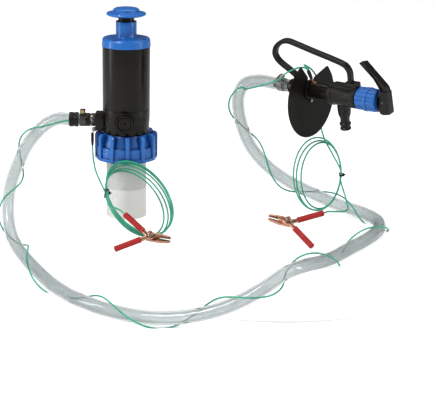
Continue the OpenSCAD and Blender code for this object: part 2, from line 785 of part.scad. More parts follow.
module loop_screws() {
    color(steel) tap_place() translate([loop_foot, 0, 0]) {
        translate([0, 0, 6]) cylinder(r = loop_screw_r - seat, h = loop_head_z - 5);
        translate([0, 0, loop_head_z]) cylinder(r = loop_screw_r + 1.6, h = 2);
    }
}

module splash_guard() {
    notch_low = tube_r + 1.5;
    notch_up = 40;
    notch_w = 44;
    color(black) tap_place() translate([-guard_at, 0, 0]) difference() {
        translate([0, 0, -guard_drop]) rotate([0, 90, 0]) cylinder(r = guard_r, h = guard_t);
        translate([-over, 0, 0]) rotate([0, 90, 0]) cylinder(r = tube_r + seat, h = guard_t + 2 * over);
        rotate([notch_turn, 0, 0]) translate([-over, 0, 0]) rotate([90, 0, 90])
            linear_extrude(guard_t + 2 * over) polygon([
                [-7.5, notch_low - 3], [7.5, notch_low - 3], [9, notch_low + 6], [notch_w, notch_up],
                [notch_w, guard_r + 5], [-notch_w, guard_r + 5], [-notch_w, notch_up], [-9, notch_low + 6]
            ]);
        for (a = guard_screw_turns) rotate([a, 0, 0]) translate([-over, 0, tube_r + guard_screw_up])
            rotate([0, 90, 0]) cylinder(r = guard_screw_r, h = guard_t + 2 * over);
    }
}

// The guard's notch is turned away from the loop's side, and its screws stand below and behind the tube
notch_turn = -21;
guard_screw_turns = [175, 270];
guard_screw_r = 1.5;
guard_screw_up = 6;

module guard_screws() {
    color(steel) tap_place() translate([-guard_at, 0, 0]) for (a = guard_screw_turns) rotate([a, 0, 0])
        translate([-2, 0, tube_r + guard_screw_up]) rotate([0, 90, 0]) {
            cylinder(r = guard_screw_r - seat, h = guard_t + 3);
            translate([0, 0, guard_t + 2]) cylinder(r = guard_screw_r + 1.1, h = 1.6);
            cylinder(r = guard_screw_r + 1.1, h = 2);
        }
}

module tap_lug() {
    color(copper) tap_place() translate([lug_at, 0, 0]) rotate([lug_turn, 0, 0]) {
        translate([0, 0, tube_r + 0.05]) cylinder(r = 3, h = 1.6);
        translate([0, 0, tube_r]) cylinder(r = 1.6, h = 4);
        translate([-2, 0, tube_r + 0.8]) rotate([0, -sleeve_lean, 0]) cylinder(r = 1.2, h = 8);
    }
    color(black) tap_place() translate([lug_at, 0, 0]) rotate([lug_turn, 0, 0])
        translate([-2, 0, tube_r + 0.8]) rotate([0, -sleeve_lean, 0]) translate([0, 0, 7])
            cylinder(r = 2.7, h = sleeve_end - 7);
}

module bonnet_nut() {
    color(blue) tap_place() translate([valve_end, 0, 0]) rotate([0, 90, 0]) difference() {
        union() {
            cylinder(r = bonnet_r - 1.6, h = bonnet_len);
            translate([0, 0, bonnet_len / 2 - 3]) cylinder(r = bonnet_r - 0.6, h = 6);
            for (i = [0:bonnet_ribs - 1]) rotate([0, 0, 360 * i / bonnet_ribs]) linear_extrude(bonnet_len)
                polygon([[bonnet_r - 3, -3.4], [bonnet_r, -2.4], [bonnet_r, 2.4], [bonnet_r - 3, 3.4]]);
        }
        translate([0, 0, -over]) cylinder(r = valve_r - 4 + seat, h = 11 + over);
        translate([0, 0, 9]) cylinder(r = chamber_r, h = bonnet_len - 16);
        translate([0, 0, 9]) cylinder(r = stem_r + 3, h = bonnet_len);
    }
}

module stem_bush() {
    color([0.85, 0.85, 0.8]) tap_place() translate([bonnet_end - 7, 0, 0]) rotate([0, 90, 0])
        ring(stem_r + 3 - seat, stem_r + run, 7);
}

module valve_stem() {
    color(steel) tap_place() difference() {
        union() {
            translate([seat_at + 3, 0, 0]) rotate([0, 90, 0]) cylinder(r = chamber_r - 1, h = 4);
            translate([seat_at + 4, 0, 0]) rotate([0, 90, 0])
                cylinder(r = stem_r, h = pivot_at + 5 - seat_at - 4);
        }
        translate([pivot_at, -stem_r - over, 0]) rotate([-90, 0, 0])
            cylinder(r = lever_pin_r, h = 2 * stem_r + 2 * over);
    }
}

module stem_spring() {
    start = seat_at + 7.1;
    color(steel) tap_place() translate([start, 0, 0]) rotate([0, 90, 0])
        ring(stem_r + 2.6, stem_r + 1.2, bonnet_end - 7 - start - stem_travel - 0.2);
}

// Foot and arm of the lever seen from the side, from its pin
lever_foot = [[-6.7, -11], [-3, -17.5], [2, -18.5], [12.6, -16.5], [10.5, 18], [-0.5, 18]];
lever_arm = [[-2, 14], [10.8, 14], [9.4, 22.5], [7.5, 25.5], [-27.5, 58.5], [-31, 59], [-35.5, 56.8],
    [-0.5, 21]];

module lever_slab(outline, w) {
    translate([0, w / 2, 0]) rotate([90, 0, 0]) linear_extrude(w) polygon(outline);
}

module tap_lever() {
    color(black) tap_place() translate([pivot_at, 0, 0]) difference() {
        union() {
            lever_slab(lever_foot, lever_w);
            lever_slab(lever_arm, lever_arm_w);
        }
        translate([-8, -stem_r - gap, -stem_r - 8]) cube([15, 2 * stem_r + 2 * gap, 2 * stem_r + 14]);
        translate([0, -lever_w, 0]) rotate([-90, 0, 0]) cylinder(r = lever_pin_r + run, h = 2 * lever_w);
    }
}

module lever_pin() {
    color(steel) tap_place() translate([pivot_at, -lever_w / 2 + 1, 0]) rotate([-90, 0, 0])
        cylinder(r = lever_pin_r, h = lever_w - 2);
}

module spout() {
    top = -valve_r - 0.5;
    color(black) tap_place() translate([-4, 0, 0])
        rotate_extrude() polygon([
            [spout_bore_r, top], [spout_bore_r + 2 - seat, top], [spout_bore_r + 2 - seat, top - 4.5],
            [spout_bore_r + 5, top - 4.5], [spout_bore_r + 4.6, top - 12], [spout_bore_r + 2, top - 20],
            [spout_bore_r + 2, top - 26], [spout_bore_r + 3.6, top - 27], [spout_bore_r + 3.6, top - 30],
            [spout_bore_r + 2.2, top - 31], [spout_bore_r + 2.2, -spout_len + 4],
            [spout_bore_r + 3.4, -spout_len + 3.4], [spout_bore_r + 3.4, -spout_len],
            [spout_end_r, -spout_len], [spout_end_r, -spout_len + spout_end_len],
            [spout_bore_r, -spout_len + spout_end_len]
        ]);
}

// ---------- Bonding leads ----------

// Coil of loops that lie beside each other, bound where they leave the left side
function coil_points(at, across, up, half_w, half_h, grow, step, loops, per_loop) =
    let (out = unit(cross(across, up)))
    [for (i = [0:loops * per_loop]) let (a = 180 - 360 * i / per_loop, k = i / per_loop)
        at + across * (half_w + grow * k) * (1 + cos(a)) - up * (half_h + grow * k) * sin(a)
        + out * step * k];

coil_step = 2 * wire_r + 0.9;
coil_1_at = [-25, -83, 52];
coil_1_across = unit([50, 0, -11]);
coil_1_up = unit([-14, 43, 43]);
coil_1_w = 43;
coil_1_h = 54.5;
coil_2_at = [329, -26, 78];
coil_2_across = [-1, 0, 0];
coil_2_up = [0, 0, 1];
coil_2_w = 30;
coil_2_h = 52;
coil_grow = 1.7;

function coil_1(per_loop) = coil_points(coil_1_at, coil_1_across, coil_1_up, coil_1_w, coil_1_h,
    coil_grow, coil_step, coil_1_loops, per_loop);
function coil_2(per_loop) = coil_points(coil_2_at, coil_2_across, coil_2_up, coil_2_w, coil_2_h,
    coil_grow, -coil_step, coil_2_loops, per_loop);
coil_1_end = coil_1(24)[24 * coil_1_loops];
coil_2_end = coil_2(24)[24 * coil_2_loops];

echo(str("lead_1_coil least gap ", least_gap(coil_1(48), 24)));
echo(str("lead_2_coil least gap ", least_gap(coil_2(48), 24)));
echo(str("hose length ", run_length(hose_path)));

module lead_1_drop() {
    top = [-outlet_reach - 4.2, lug_y, lug_z - 5 - lug_sleeve_h];
    color(green) sweep(smooth([top, top - [0, 0, 5], [-49, -20, 92], [-44, -36, 78],
        [-34, -62, 66], coil_1_at + 8 * coil_1_up, coil_1_at], 3), wire_r, 8);
}

module lead_1_coil() {
    color(green) sweep(coil_1(24), wire_r, 6);
}

module lead_2_drop() {
    color(green) sweep(smooth([sleeve_point(1.4, sleeve_end), sleeve_point(1.4, sleeve_end + 4),
        tap_point([-73, 4, 35.5]), tap_point([-79, 16, 30]), tap_point([-78, 31, 16]),
        tap_point([-74, 42, -10]), tap_point([-72, 41, -30]), [301, 21, 165], [299, 20, 153],
        [300, 15, 138], [305, 0, 124], [315, -15, 108], coil_2_at + [-1, 0, 8], coil_2_at], 3), wire_r, 8);
}

module lead_2_coil() {
    color(green) sweep(coil_2(24), wire_r, 6);
}

function clip_point(at, turn, p) = let (x = p.x * cos(turn) - p.y * sin(turn),
    y = p.x * sin(turn) + p.y * cos(turn))
    at + [x, y * cos(clip_tilt) - p.z * sin(clip_tilt), y * sin(clip_tilt) + p.z * cos(clip_tilt)];

grip_end = [-handle_len * cos(handle_angle), handle_len * sin(handle_angle), -2.15];
grip_out = [-cos(handle_angle), sin(handle_angle), 0];
clip_1_exit = clip_point(clip_1_at, clip_1_turn, grip_end);
clip_1_lead = clip_point(clip_1_at, clip_1_turn, grip_end + 8 * grip_out);
clip_2_exit = clip_point(clip_2_at, clip_2_turn, mirror_y(grip_end));
clip_2_lead = clip_point(clip_2_at, clip_2_turn, mirror_y(grip_end + 8 * grip_out));
function mirror_y(p) = [p.x, -p.y, p.z];

module lead_1_tail() {
    color(green) sweep(smooth([coil_1_end, coil_1_end - 8 * coil_1_up, [-16, -120, 48], [-8, -136, 50],
        clip_1_lead, clip_1_exit], 3), wire_r, 8);
}

module lead_2_tail() {
    color(green) sweep(smooth([coil_2_end, coil_2_end - [0, 0, 10], [338, -50, 40], [334, -90, 38],
        clip_2_lead, clip_2_exit], 3), wire_r, 8);
}

module lead_ties() {
    color(black) tie(coil_1_at, coil_1_across, coil_1_up, coil_1_loops, 1);
    color(black) tie(coil_2_at, coil_2_across, coil_2_up, coil_2_loops, -1);
}

// Flat tie round the side by side wires of a coil
module tie(at, across, up, loops, way) {
    out = way * unit(cross(across, up));
    side = unit(cross(up, out));
    reach = coil_step * loops + 2 * wire_r;
    multmatrix([[side.x, out.x, up.x, at.x], [side.y, out.y, up.y, at.y], [side.z, out.z, up.z, at.z]])
        translate([0, coil_step * loops / 2, -1.5]) difference() {
            translate([-wire_r - tie_t - tie_room, -reach / 2 - tie_t, 0])
                cube([2 * (wire_r + tie_t + tie_room), reach + 2 * tie_t, 3]);
            translate([-wire_r - tie_room, -reach / 2 - 0.2, -over])
                cube([2 * (wire_r + tie_room), reach + 0.4, 3 + 2 * over]);
        }
}

tie_t = 1.2;
tie_room = 0.6;

// ---------- Clips ----------

module clip_place(at, turn) {
    translate(at) rotate([clip_tilt, 0, 0]) rotate([0, 0, turn]) children();
}

// Half of a clip: a toothed jaw ahead of the pivot and a handle behind it
module clip_half() {
    w = 7;
    linear_extrude(4) {
        polygon([
            [-6, -5], [2, -6], [12, -5.5], [jaw_len - 2, -3.2], [jaw_len, -2.2], [jaw_len, -0.2],
            [jaw_len - 3, -1.2], [jaw_len - 5, -0.2], [jaw_len - 8, -1.4], [jaw_len - 10, -0.2],
            [jaw_len - 13, -1.6], [jaw_len - 15, -0.2], [8, 1.5], [2, 6], [-6, 5]
        ]);
        rotate(180 - handle_angle) translate([0, -w / 2 + 0.5]) square([handle_len - 6, w - 1]);
    }
}

module clip_frame() {
    color(copper) translate([0, 0, -4.15]) difference() {
        clip_half();
        translate([0, 0, -over]) cylinder(r = clip_pin_r + seat, h = 4 + 2 * over);
    }
}

module clip_jaw() {
    color(copper) translate([0, 0, 0.15]) mirror([0, 1, 0]) difference() {
        clip_half();
        translate([0, 0, -over]) cylinder(r = clip_pin_r + run, h = 4 + 2 * over);
    }
}

// Ribbed sleeve round the outer part of a handle
module grip(z) {
    grip_from = 15;
    bar_w = 3 + seat;
    rotate([0, 0, 180 - handle_angle]) translate([grip_from, 0, z]) rotate([0, 90, 0]) difference() {
        cylinder(r = sleeve_r, h = handle_len - grip_from);
        translate([-2 - seat, -bar_w, -over])
            cube([4 + 2 * seat, 2 * bar_w, handle_len - grip_from - 6 + over + seat]);
    }
}

module clip_grip() {
    color(red) mirror([0, 1, 0]) grip(2.15);
}

module clip_pin() {
    color(steel) {
        translate([0, 0, -6]) cylinder(r = clip_pin_r, h = 17);
        translate([0, 0, -6.2]) cylinder(r = 3.4, h = 2);
        translate([0, 0, 10.2]) cylinder(r = 3.4, h = 1.4);
    }
}

module clip_spring() {
    turns = 3;
    steps = 8;
    color(steel) sweep([for (i = [0:turns * steps])
        [3.4 * cos(360 * i / steps), 3.4 * sin(360 * i / steps), 5.2 + 1.25 * i / steps]], 0.4, 6);
}

module clip_1_frame() { clip_place(clip_1_at, clip_1_turn) clip_frame(); }
module clip_1_jaw() { clip_place(clip_1_at, clip_1_turn) clip_jaw(); }
module clip_1_grip() { clip_place(clip_1_at, clip_1_turn) clip_grip(); }
module clip_2_frame() { clip_place(clip_2_at, clip_2_turn) mirror([0, 1, 0]) clip_frame(); }
module clip_2_jaw() { clip_place(clip_2_at, clip_2_turn) mirror([0, 1, 0]) clip_jaw(); }
module clip_2_grip() { clip_place(clip_2_at, clip_2_turn) mirror([0, 1, 0]) clip_grip(); }

module fixed_grips() {
    color(red) clip_place(clip_1_at, clip_1_turn) grip(-2.15);
    color(red) clip_place(clip_2_at, clip_2_turn) mirror([0, 1, 0]) grip(-2.15);
}

module clip_pins() {
    clip_place(clip_1_at, clip_1_turn) clip_pin();
    clip_place(clip_2_at, clip_2_turn) clip_pin();
}

module clip_springs() {
    clip_place(clip_1_at, clip_1_turn) clip_spring();
    clip_place(clip_2_at, clip_2_turn) clip_spring();
}

adapter_pipe();
adapter_ring();
union_nut();
base();
barrel();
air_cylinder();
cylinder_ring();
top_cap();
cap_screws();
guide_bush();
plunger_tube();
piston();
piston_seal();
piston_bolt();
knob();
check_valve();
relief_cap();
relief_poppet();
relief_spring();
outlet_block();
outlet_tail();
outlet_sleeve();
outlet_clamp();
clamp_screws();
ground_lug();
hose();
hose_ends();
hose_wire();
tap_clamp();
tap_tube();
splash_guard();
guard_screws();
tap_lug();
valve_body();
valve_seat();
hand_loop();
loop_screws();
bonnet_nut();
stem_bush();
valve_stem();
stem_spring();
tap_lever();
lever_pin();
spout();
lead_1_drop();
lead_1_coil();
lead_1_tail();
lead_2_drop();
lead_2_coil();
lead_2_tail();
lead_ties();
clip_1_frame();
clip_1_jaw();
clip_1_grip();
clip_2_frame();
clip_2_jaw();
clip_2_grip();
fixed_grips();
clip_pins();
clip_springs();
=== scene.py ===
import math

import bmesh
import bpy
import numpy as np
from bpy.props import FloatProperty, FloatVectorProperty, IntProperty, PointerProperty
from mathutils import Matrix, Vector


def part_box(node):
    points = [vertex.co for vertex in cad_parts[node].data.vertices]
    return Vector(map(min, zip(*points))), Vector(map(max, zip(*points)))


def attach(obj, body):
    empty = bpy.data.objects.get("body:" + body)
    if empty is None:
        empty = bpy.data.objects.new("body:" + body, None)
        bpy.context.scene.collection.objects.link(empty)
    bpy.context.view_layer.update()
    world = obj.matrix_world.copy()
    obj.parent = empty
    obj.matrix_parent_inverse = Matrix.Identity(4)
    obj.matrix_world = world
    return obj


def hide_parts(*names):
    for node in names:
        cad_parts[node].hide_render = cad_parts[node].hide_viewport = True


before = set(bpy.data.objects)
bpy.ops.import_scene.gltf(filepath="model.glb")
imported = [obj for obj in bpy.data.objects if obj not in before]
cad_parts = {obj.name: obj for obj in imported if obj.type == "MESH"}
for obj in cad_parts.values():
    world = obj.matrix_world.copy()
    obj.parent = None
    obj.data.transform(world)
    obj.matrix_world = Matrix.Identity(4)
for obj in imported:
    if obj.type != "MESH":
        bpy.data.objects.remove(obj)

bl_info = {
    "name": "Hand drum pump",
    "version": (1, 0, 0),
    "blender": (4, 5, 0),
    "location": "View3D > Sidebar > Drum pump",
    "description": "Builds a hand drum pump with its hose, lever tap and bonding leads",
    "category": "Add Mesh",
}

MM = 0.001


def shift(x, y, z):
    """Move by a distance in metres."""
    return Matrix.Translation((x, y, z))


def spin(degrees, axis):
    """Turn about an axis."""
    return Matrix.Rotation(math.radians(degrees), 4, axis)


# ---------- Places, in metres ----------

# Heights on the pump axis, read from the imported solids
NUT_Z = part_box("union_nut")[0][2]
BASE_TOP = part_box("barrel")[0][2]
BARREL_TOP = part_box("barrel")[1][2]
TOWER_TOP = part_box("top_cap")[1][2]
KNOB_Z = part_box("knob")[0][2]
OUTLET_Z = 0.150
RELIEF_Z = 0.154
RELIEF_ROOT = 28.5  # mm from the axis to the boss's root in the base
RELIEF_LEN = 15.5  # mm from there to its rim
OUTLET_REACH = 0.047

# The tap: its own frame has +X along the waterway towards the lever and +Z away from the spout
TAP_TURN = 38
TAP_AT = (0.328, -0.062, 0.208)
TAP_PLACE = shift(*TAP_AT) @ spin(-TAP_TURN, "Z") @ spin(12, "X")
ALONG_X = spin(90, "Y")
PIVOT_AT = 0.067
GUARD_AT = 0.066
TAIL_END = 0.128

# The clips: each has +X along its jaws and +Z along its pin
CLIP_TILT = spin(38, "X")
CLIP_PLACES = {
    "clip_1": shift(0.046, -0.178, 0.020) @ CLIP_TILT @ spin(-10, "Z"),
    "clip_2": shift(0.245, -0.147, 0.036) @ CLIP_TILT @ spin(164, "Z"),
}
CLIP_SIDES = {"clip_1": 1, "clip_2": -1}
HANDLE_LEN = 0.056
WIRE_LEVEL = -2.15  # mm along the pin from the clip's middle to its fixed half's
HANDLE_TURN = 36
CRIMP_AT = 24  # mm from the rivet to where the lead's end is crimped in the handle

# Route of the hose between its two tails
HOSE_POINTS = [
    (-0.088, 0, 0.150), (-0.107, 0, 0.150), (-0.128, -0.005, 0.138), (-0.149, -0.012, 0.114),
    (-0.163, -0.020, 0.086), (-0.173, -0.030, 0.058), (-0.177, -0.042, 0.030), (-0.174, -0.062, 0),
    (-0.163, -0.088, -0.020), (-0.144, -0.122, -0.032), (-0.118, -0.166, -0.040),
    (-0.088, -0.215, -0.045), (-0.050, -0.262, -0.047), (-0.005, -0.302, -0.047),
    (0.040, -0.328, -0.046), (0.085, -0.342, -0.042), (0.130, -0.348, -0.032),
    (0.170, -0.350, -0.016), (0.205, -0.347, 0.004), (0.235, -0.335, 0.022), (0.262, -0.308, 0.024),
    (0.286, -0.270, 0.017), (0.308, -0.228, 0.011), (0.334, -0.182, 0.0095), (0.362, -0.138, 0.0095),
    (0.383, -0.092, 0.0095), (0.387, -0.046, 0.0095), (0.368, -0.008, 0.011), (0.331, 0.010, 0.018),
    (0.290, 0.018, 0.034), (0.250, 0.018, 0.054), (0.215, 0.018, 0.080), (0.189, 0.020, 0.112),
    (0.175, 0.026, 0.148), (0.171, 0.036, 0.178), (0.180, 0.044, 0.200), (0.202, 0.035, 0.208),
    tuple(TAP_PLACE @ Vector((-TAIL_END, 0, 0))),
]
HOSE_TURNS = 10  # of the bonding wire round the hose
WIND_R = 0.0145  # of that helix
WIRE_START = [(-0.087, -0.011, 0.150), (-0.094, -0.013, 0.150)]


# ---------- Shapes as functions ----------

def unit(v):
    """Vectors scaled to length one, along the last axis."""
    return v / np.maximum(np.linalg.norm(v, axis=-1, keepdims=True), 1e-12)


def smooth_path(points, steps):
    """Catmull-Rom curve: between points b and c the cubic that meets their neighbours' chords."""
    p = np.asarray(points, float)
    pad = np.vstack([p[:1], p, p[-1:]])
    a, b, c, d = (pad[i:len(pad) - 3 + i, None, :] for i in range(4))
    s = (np.arange(steps) / steps)[None, :, None]
    q = 0.5 * (2 * b + (c - a) * s + (2 * a - 5 * b + 4 * c - d) * s ** 2
               + (3 * b - a - 3 * c + d) * s ** 3)
    return np.vstack([q.reshape(-1, 3), p[-1:]])


def lengths_to(p):
    """Length along a path to each of its points."""
    return np.concatenate([[0], np.cumsum(np.linalg.norm(np.diff(p, axis=0), axis=1))])


def even_path(points, step):
    """The same line with points a fixed step apart, by length along it."""
    p = np.asarray(points, float)
    s = lengths_to(p)
    n = max(int(round(s[-1] / step)), 2)
    at = np.linspace(0, s[-1], n + 1)
    return np.stack([np.interp(at, s, p[:, k]) for k in range(3)], 1)


def path_frames(p):
    """Two normals at each point of a path, which turn with it as little as they can."""
    seg = unit(np.diff(p, axis=0))
    t = unit(np.vstack([seg[:1], seg[1:] + seg[:-1], seg[-1:]]))
    n = np.zeros_like(t)
    n[0] = unit(np.cross(t[0], [0, 0, 1] if abs(t[0][2]) < 0.9 else [0, 1, 0]))
    for i in range(1, len(t)):
        n[i] = unit(n[i - 1] - (n[i - 1] @ t[i]) * t[i])
    return n, np.cross(t, n)


def circle(n, phase=0.0):
    """Angles of n points evenly round a circle."""
    return np.arange(n) * 2 * math.pi / n + phase


def rounded(corners, radius, steps=4, closed=True):
    """Polygon whose corners are arcs: each is swept from one side's tangent point to the next's."""
    p = np.asarray([c[:2] for c in corners], float)
    r = np.asarray([c[2] if len(c) > 2 else radius for c in corners], float)
    n = len(p)
    out = []
    for i in range(n):
        if (not closed and i in (0, n - 1)) or r[i] <= 0:
            out.append(p[i])
            continue
        a, b = p[i - 1] - p[i], p[(i + 1) % n] - p[i]
        la, lb = np.linalg.norm(a), np.linalg.norm(b)
        a, b = a / la, b / lb
        half = math.acos(max(-1, min(1, float(a @ b)))) / 2
        if half > math.radians(88) or half < math.radians(2):
            out.append(p[i])
            continue
        cut = min(r[i] / math.tan(half), 0.48 * la, 0.48 * lb)
        s = np.linspace(0, 1, steps + 1)[:, None]
        out.extend((1 - s) ** 2 * (p[i] + a * cut) + 2 * s * (1 - s) * p[i] + s ** 2 * (p[i] + b * cut))
    return np.array(out)


def grid_faces(rows, cols, close_rows, close_cols):
    """Quads between neighbouring rows and columns of a grid of points."""
    i = np.arange(rows if close_rows else rows - 1)[:, None]
    j = np.arange(cols if close_cols else cols - 1)[None, :]
    i1, j1 = (i + 1) % rows, (j + 1) % cols
    return np.stack([i * cols + j, i * cols + j1, i1 * cols + j1, i1 * cols + j], -1).reshape(-1, 4)


def tube_faces(rows, cols):
    """Faces of a tube of rings, closed at both ends."""
    ends = [list(range(cols)), list(range((rows - 1) * cols, rows * cols))]
    return grid_faces(rows, cols, False, True).tolist() + ends


def smooth(mesh, sharp):
    """Smooth shading, with edges sharper than an angle kept sharp."""
    mesh.polygons.foreach_set("use_smooth", np.ones(len(mesh.polygons), bool))
    mesh.set_sharp_from_angle(angle=math.radians(sharp))


def shown_mesh(name, mesh, sharp):
    """Object of a mesh, smoothed and in the scene."""
    smooth(mesh, sharp)
    obj = bpy.data.objects.new(name, mesh)
    bpy.context.scene.collection.objects.link(obj)
    return obj


def make_piece(name, parts, place=None, sharp=35):
    """One mesh object from parts of (points, faces), merged where they meet, with faces outwards."""
    verts, faces, base = [], [], 0
    for points, polys in parts:
        pts = np.asarray(points, float).reshape(-1, 3)
        verts.append(pts)
        faces.extend((np.asarray(f) + base).tolist() for f in polys)
        base += len(pts)
    mesh = bpy.data.meshes.new(name)
    mesh.from_pydata(np.vstack(verts).tolist(), [], faces)
    if place is not None:
        mesh.transform(place)
    bm = bmesh.new()
    bm.from_mesh(mesh)
    bmesh.ops.remove_doubles(bm, verts=bm.verts, dist=2e-6)
    bmesh.ops.dissolve_degenerate(bm, dist=1e-7, edges=bm.edges)
    bmesh.ops.recalc_face_normals(bm, faces=bm.faces)
    bm.to_mesh(mesh)
    bm.free()
    return shown_mesh(name, mesh, sharp)


def scaled(points):
    """Points given in millimetres, in metres."""
    return np.asarray(points, float) * MM


def turned(profile, n=96, closed=True, swell=None):
    """Surface of revolution: (r cos a, r sin a, z) in millimetres, where swell adds to r at (a, z)."""
    p = np.asarray(profile, float)
    a = circle(n)[:, None]
    r, z = p[None, :, 0] * np.ones_like(a), p[None, :, 1] * np.ones_like(a)
    if swell is not None:
        r = r + swell(a, r, z)
    return scaled(np.stack([r * np.cos(a), r * np.sin(a), z], -1)), grid_faces(n, len(p), True, closed)


def tube(path, radius=0.0, sides=16, section=None):
    """Tube: p(s) + r (cos a N(s) + sin a B(s)), or a section of (x, y) carried the same way."""
    n, b = path_frames(path)
    if section is None:
        a = circle(sides)
        r = np.broadcast_to(np.asarray(radius, float), (len(path),))[:, None, None]
        ring = np.stack([np.cos(a), np.sin(a)], 1)[None] * r
    else:
        ring = section if section.ndim == 3 else np.broadcast_to(section, (len(path),) + section.shape)
    pts = path[:, None, :] + ring[..., :1] * n[:, None, :] + ring[..., 1:] * b[:, None, :]
    return pts, tube_faces(*pts.shape[:2])


def inset(outline, d):
    """Outline moved inwards by d: each corner goes along the mitre of its two sides."""
    p = np.asarray(outline, float)
    e = unit(np.roll(p, -1, 0) - p)
    nrm = np.stack([-e[:, 1], e[:, 0]], 1)
    m = unit(nrm + np.roll(nrm, 1, 0))
    cosine = np.clip((m * nrm).sum(1), 0.35, 1)
    return p + m * (d / cosine)[:, None]


def slab(outline, z0, z1, edge, steps=3):
    """Plate with rounded rims: drawn in by edge (1 - sin a) where z is edge (1 - cos a) inside its face."""
    p = np.asarray(outline, float)
    x, y = p[:, 0], p[:, 1]
    if (x * np.roll(y, -1) - np.roll(x, -1) * y).sum() < 0:
        p = p[::-1]
    turn = np.linspace(0, math.pi / 2, steps + 1)
    arc = [(edge * (1 - math.sin(a)), edge * (1 - math.cos(a))) for a in turn]
    rims = [(d, z0 + up) for d, up in arc] + [(d, z1 - up) for d, up in arc[::-1]]
    pts = np.array([np.column_stack([inset(p, d), np.full(len(p), z)]) for d, z in rims])
    return scaled(pts), tube_faces(*pts.shape[:2])


def moved(part, place):
    """The same part with its points carried by a matrix."""
    pts, faces = part
    m = np.array(place)
    flat = np.asarray(pts, float).reshape(-1, 3)
    return flat @ m[:3, :3].T + m[:3, 3], faces


def block(x, y, z, corner, edge, steps=3):
    """Block in millimetres between pairs of x, y and z, its upright corners and its rims rounded."""
    return slab(rounded([(x[0], y[0]), (x[1], y[0]), (x[1], y[1]), (x[0], y[1])], corner), *z, edge, steps)


# ---------- Node trees ----------

def set_inputs(tree, made, values):
    """Values or sockets on a node's inputs, each by its name or its place."""
    for key, value in values.items():
        if isinstance(value, bpy.types.NodeSocket):
            tree.links.new(value, made.inputs[key])
        else:
            made.inputs[key].default_value = value


def node(tree, kind, values=None, **settings):
    """Shader node with its settings and its inputs."""
    made = tree.nodes.new("ShaderNode" + kind)
    for key, value in settings.items():
        setattr(made, key, value)
    set_inputs(tree, made, values or {})
    return made


def math_node(tree, operation, a, b=0.0, clamp=False):
    """Output of a Math node."""
    return node(tree, "Math", {0: a, 1: b}, operation=operation, use_clamp=clamp).outputs[0]


def times(tree, a, b, clamp=False):
    """Product of two values."""
    return math_node(tree, "MULTIPLY", a, b, clamp)


def noise(tree, place, scale, detail=2.0, roughness=0.5):
    """Value of a noise texture."""
    values = {"Vector": place, "Scale": scale, "Detail": detail, "Roughness": roughness}
    return node(tree, "TexNoise", values).outputs[0]


def remap(tree, value, low, high, to_low=0.0, to_high=1.0):
    """Value carried evenly from low..high to to_low..to_high, and held at those ends."""
    return node(tree, "MapRange", {0: value, 1: low, 2: high, 3: to_low, 4: to_high}).outputs[0]


def mix_colour(tree, factor, a, b):
    """Colour between a and b."""
    return node(tree, "Mix", {0: factor, 6: a, 7: b}, data_type="RGBA").outputs[2]


def mix_value(tree, factor, a, b):
    """Value between a and b."""
    return node(tree, "Mix", {0: factor, 2: a, 3: b}).outputs[0]


def group(tree, name, values):
    """Outputs of one of the node groups below."""
    return node(tree, "Group", values, node_tree=bpy.data.node_groups[name]).outputs


def new_group(name, inputs, outputs):
    """Node group with named sockets, each a colour (c), a number (f) or a vector (v)."""
    tree = bpy.data.node_groups.new(name, "ShaderNodeTree")
    kinds = {"c": "NodeSocketColor", "f": "NodeSocketFloat", "v": "NodeSocketVector"}
    for way, sockets in (("INPUT", inputs), ("OUTPUT", outputs)):
        for label, kind in sockets.items():
            tree.interface.new_socket(label, in_out=way, socket_type=kinds[kind])
    return tree, tree.nodes.new("NodeGroupInput").outputs, tree.nodes.new("NodeGroupOutput")


def wear_group():
    """Edges rubbed paler: mask = amount x pointiness above flat x noise, for colour and roughness."""
    tree, got, put = new_group("Rubbed edges", {"Vector": "v", "Color": "c", "Worn Color": "c",
                                                "Roughness": "f", "Worn Roughness": "f", "Amount": "f",
                                                "Scale": "f"}, {"Color": "c", "Roughness": "f"})
    edge = remap(tree, node(tree, "NewGeometry").outputs["Pointiness"], 0.503, 0.56)
    patchy = remap(tree, noise(tree, got["Vector"], got["Scale"], 5.0, 0.65), 0.38, 0.7)
    mask = times(tree, times(tree, edge, patchy), got["Amount"], True)
    rough = mix_value(tree, mask, got["Roughness"], got["Worn Roughness"])
    smear = times(tree, math_node(tree, "SUBTRACT", noise(tree, got["Vector"], 38.0, 3.0), 0.5), 0.16)
    set_inputs(tree, put, {"Color": mix_colour(tree, mask, got["Color"], got["Worn Color"]),
                           "Roughness": math_node(tree, "ADD", rough, smear, True)})


def grain_group():
    """Spark-eroded mould grain: height = fine cells + 0.8 x coarse noise."""
    tree, got, put = new_group("Moulded grain", {"Vector": "v", "Scale": "f"}, {"Height": "f"})
    values = {"Vector": got["Vector"], "Scale": got["Scale"]}
    cells = node(tree, "TexVoronoi", values, feature="SMOOTH_F1").outputs["Distance"]
    lumps = times(tree, noise(tree, got["Vector"], 220.0, 4.0), 0.8)
    set_inputs(tree, put, {"Height": math_node(tree, "ADD", cells, lumps)})


def dust_group():
    """Dust that lies on upward faces: mask = amount x (normal z)^2 x noise."""
    tree, got, put = new_group("Settled dust", {"Vector": "v", "Color": "c", "Roughness": "f",
                                                "Amount": "f"}, {"Color": "c", "Roughness": "f"})
    up = node(tree, "SeparateXYZ", {0: node(tree, "NewGeometry").outputs["Normal"]}).outputs[2]
    up = math_node(tree, "POWER", math_node(tree, "MAXIMUM", up, 0.0), 2.0)
    specks = remap(tree, noise(tree, got["Vector"], 90.0, 8.0, 0.7), 0.42, 0.72, 0.15)
    mask = times(tree, times(tree, up, specks), got["Amount"], True)
    set_inputs(tree, put, {"Color": mix_colour(tree, mask, got["Color"], (0.42, 0.4, 0.37, 1)),
                           "Roughness": mix_value(tree, mask, got["Roughness"], 0.85)})


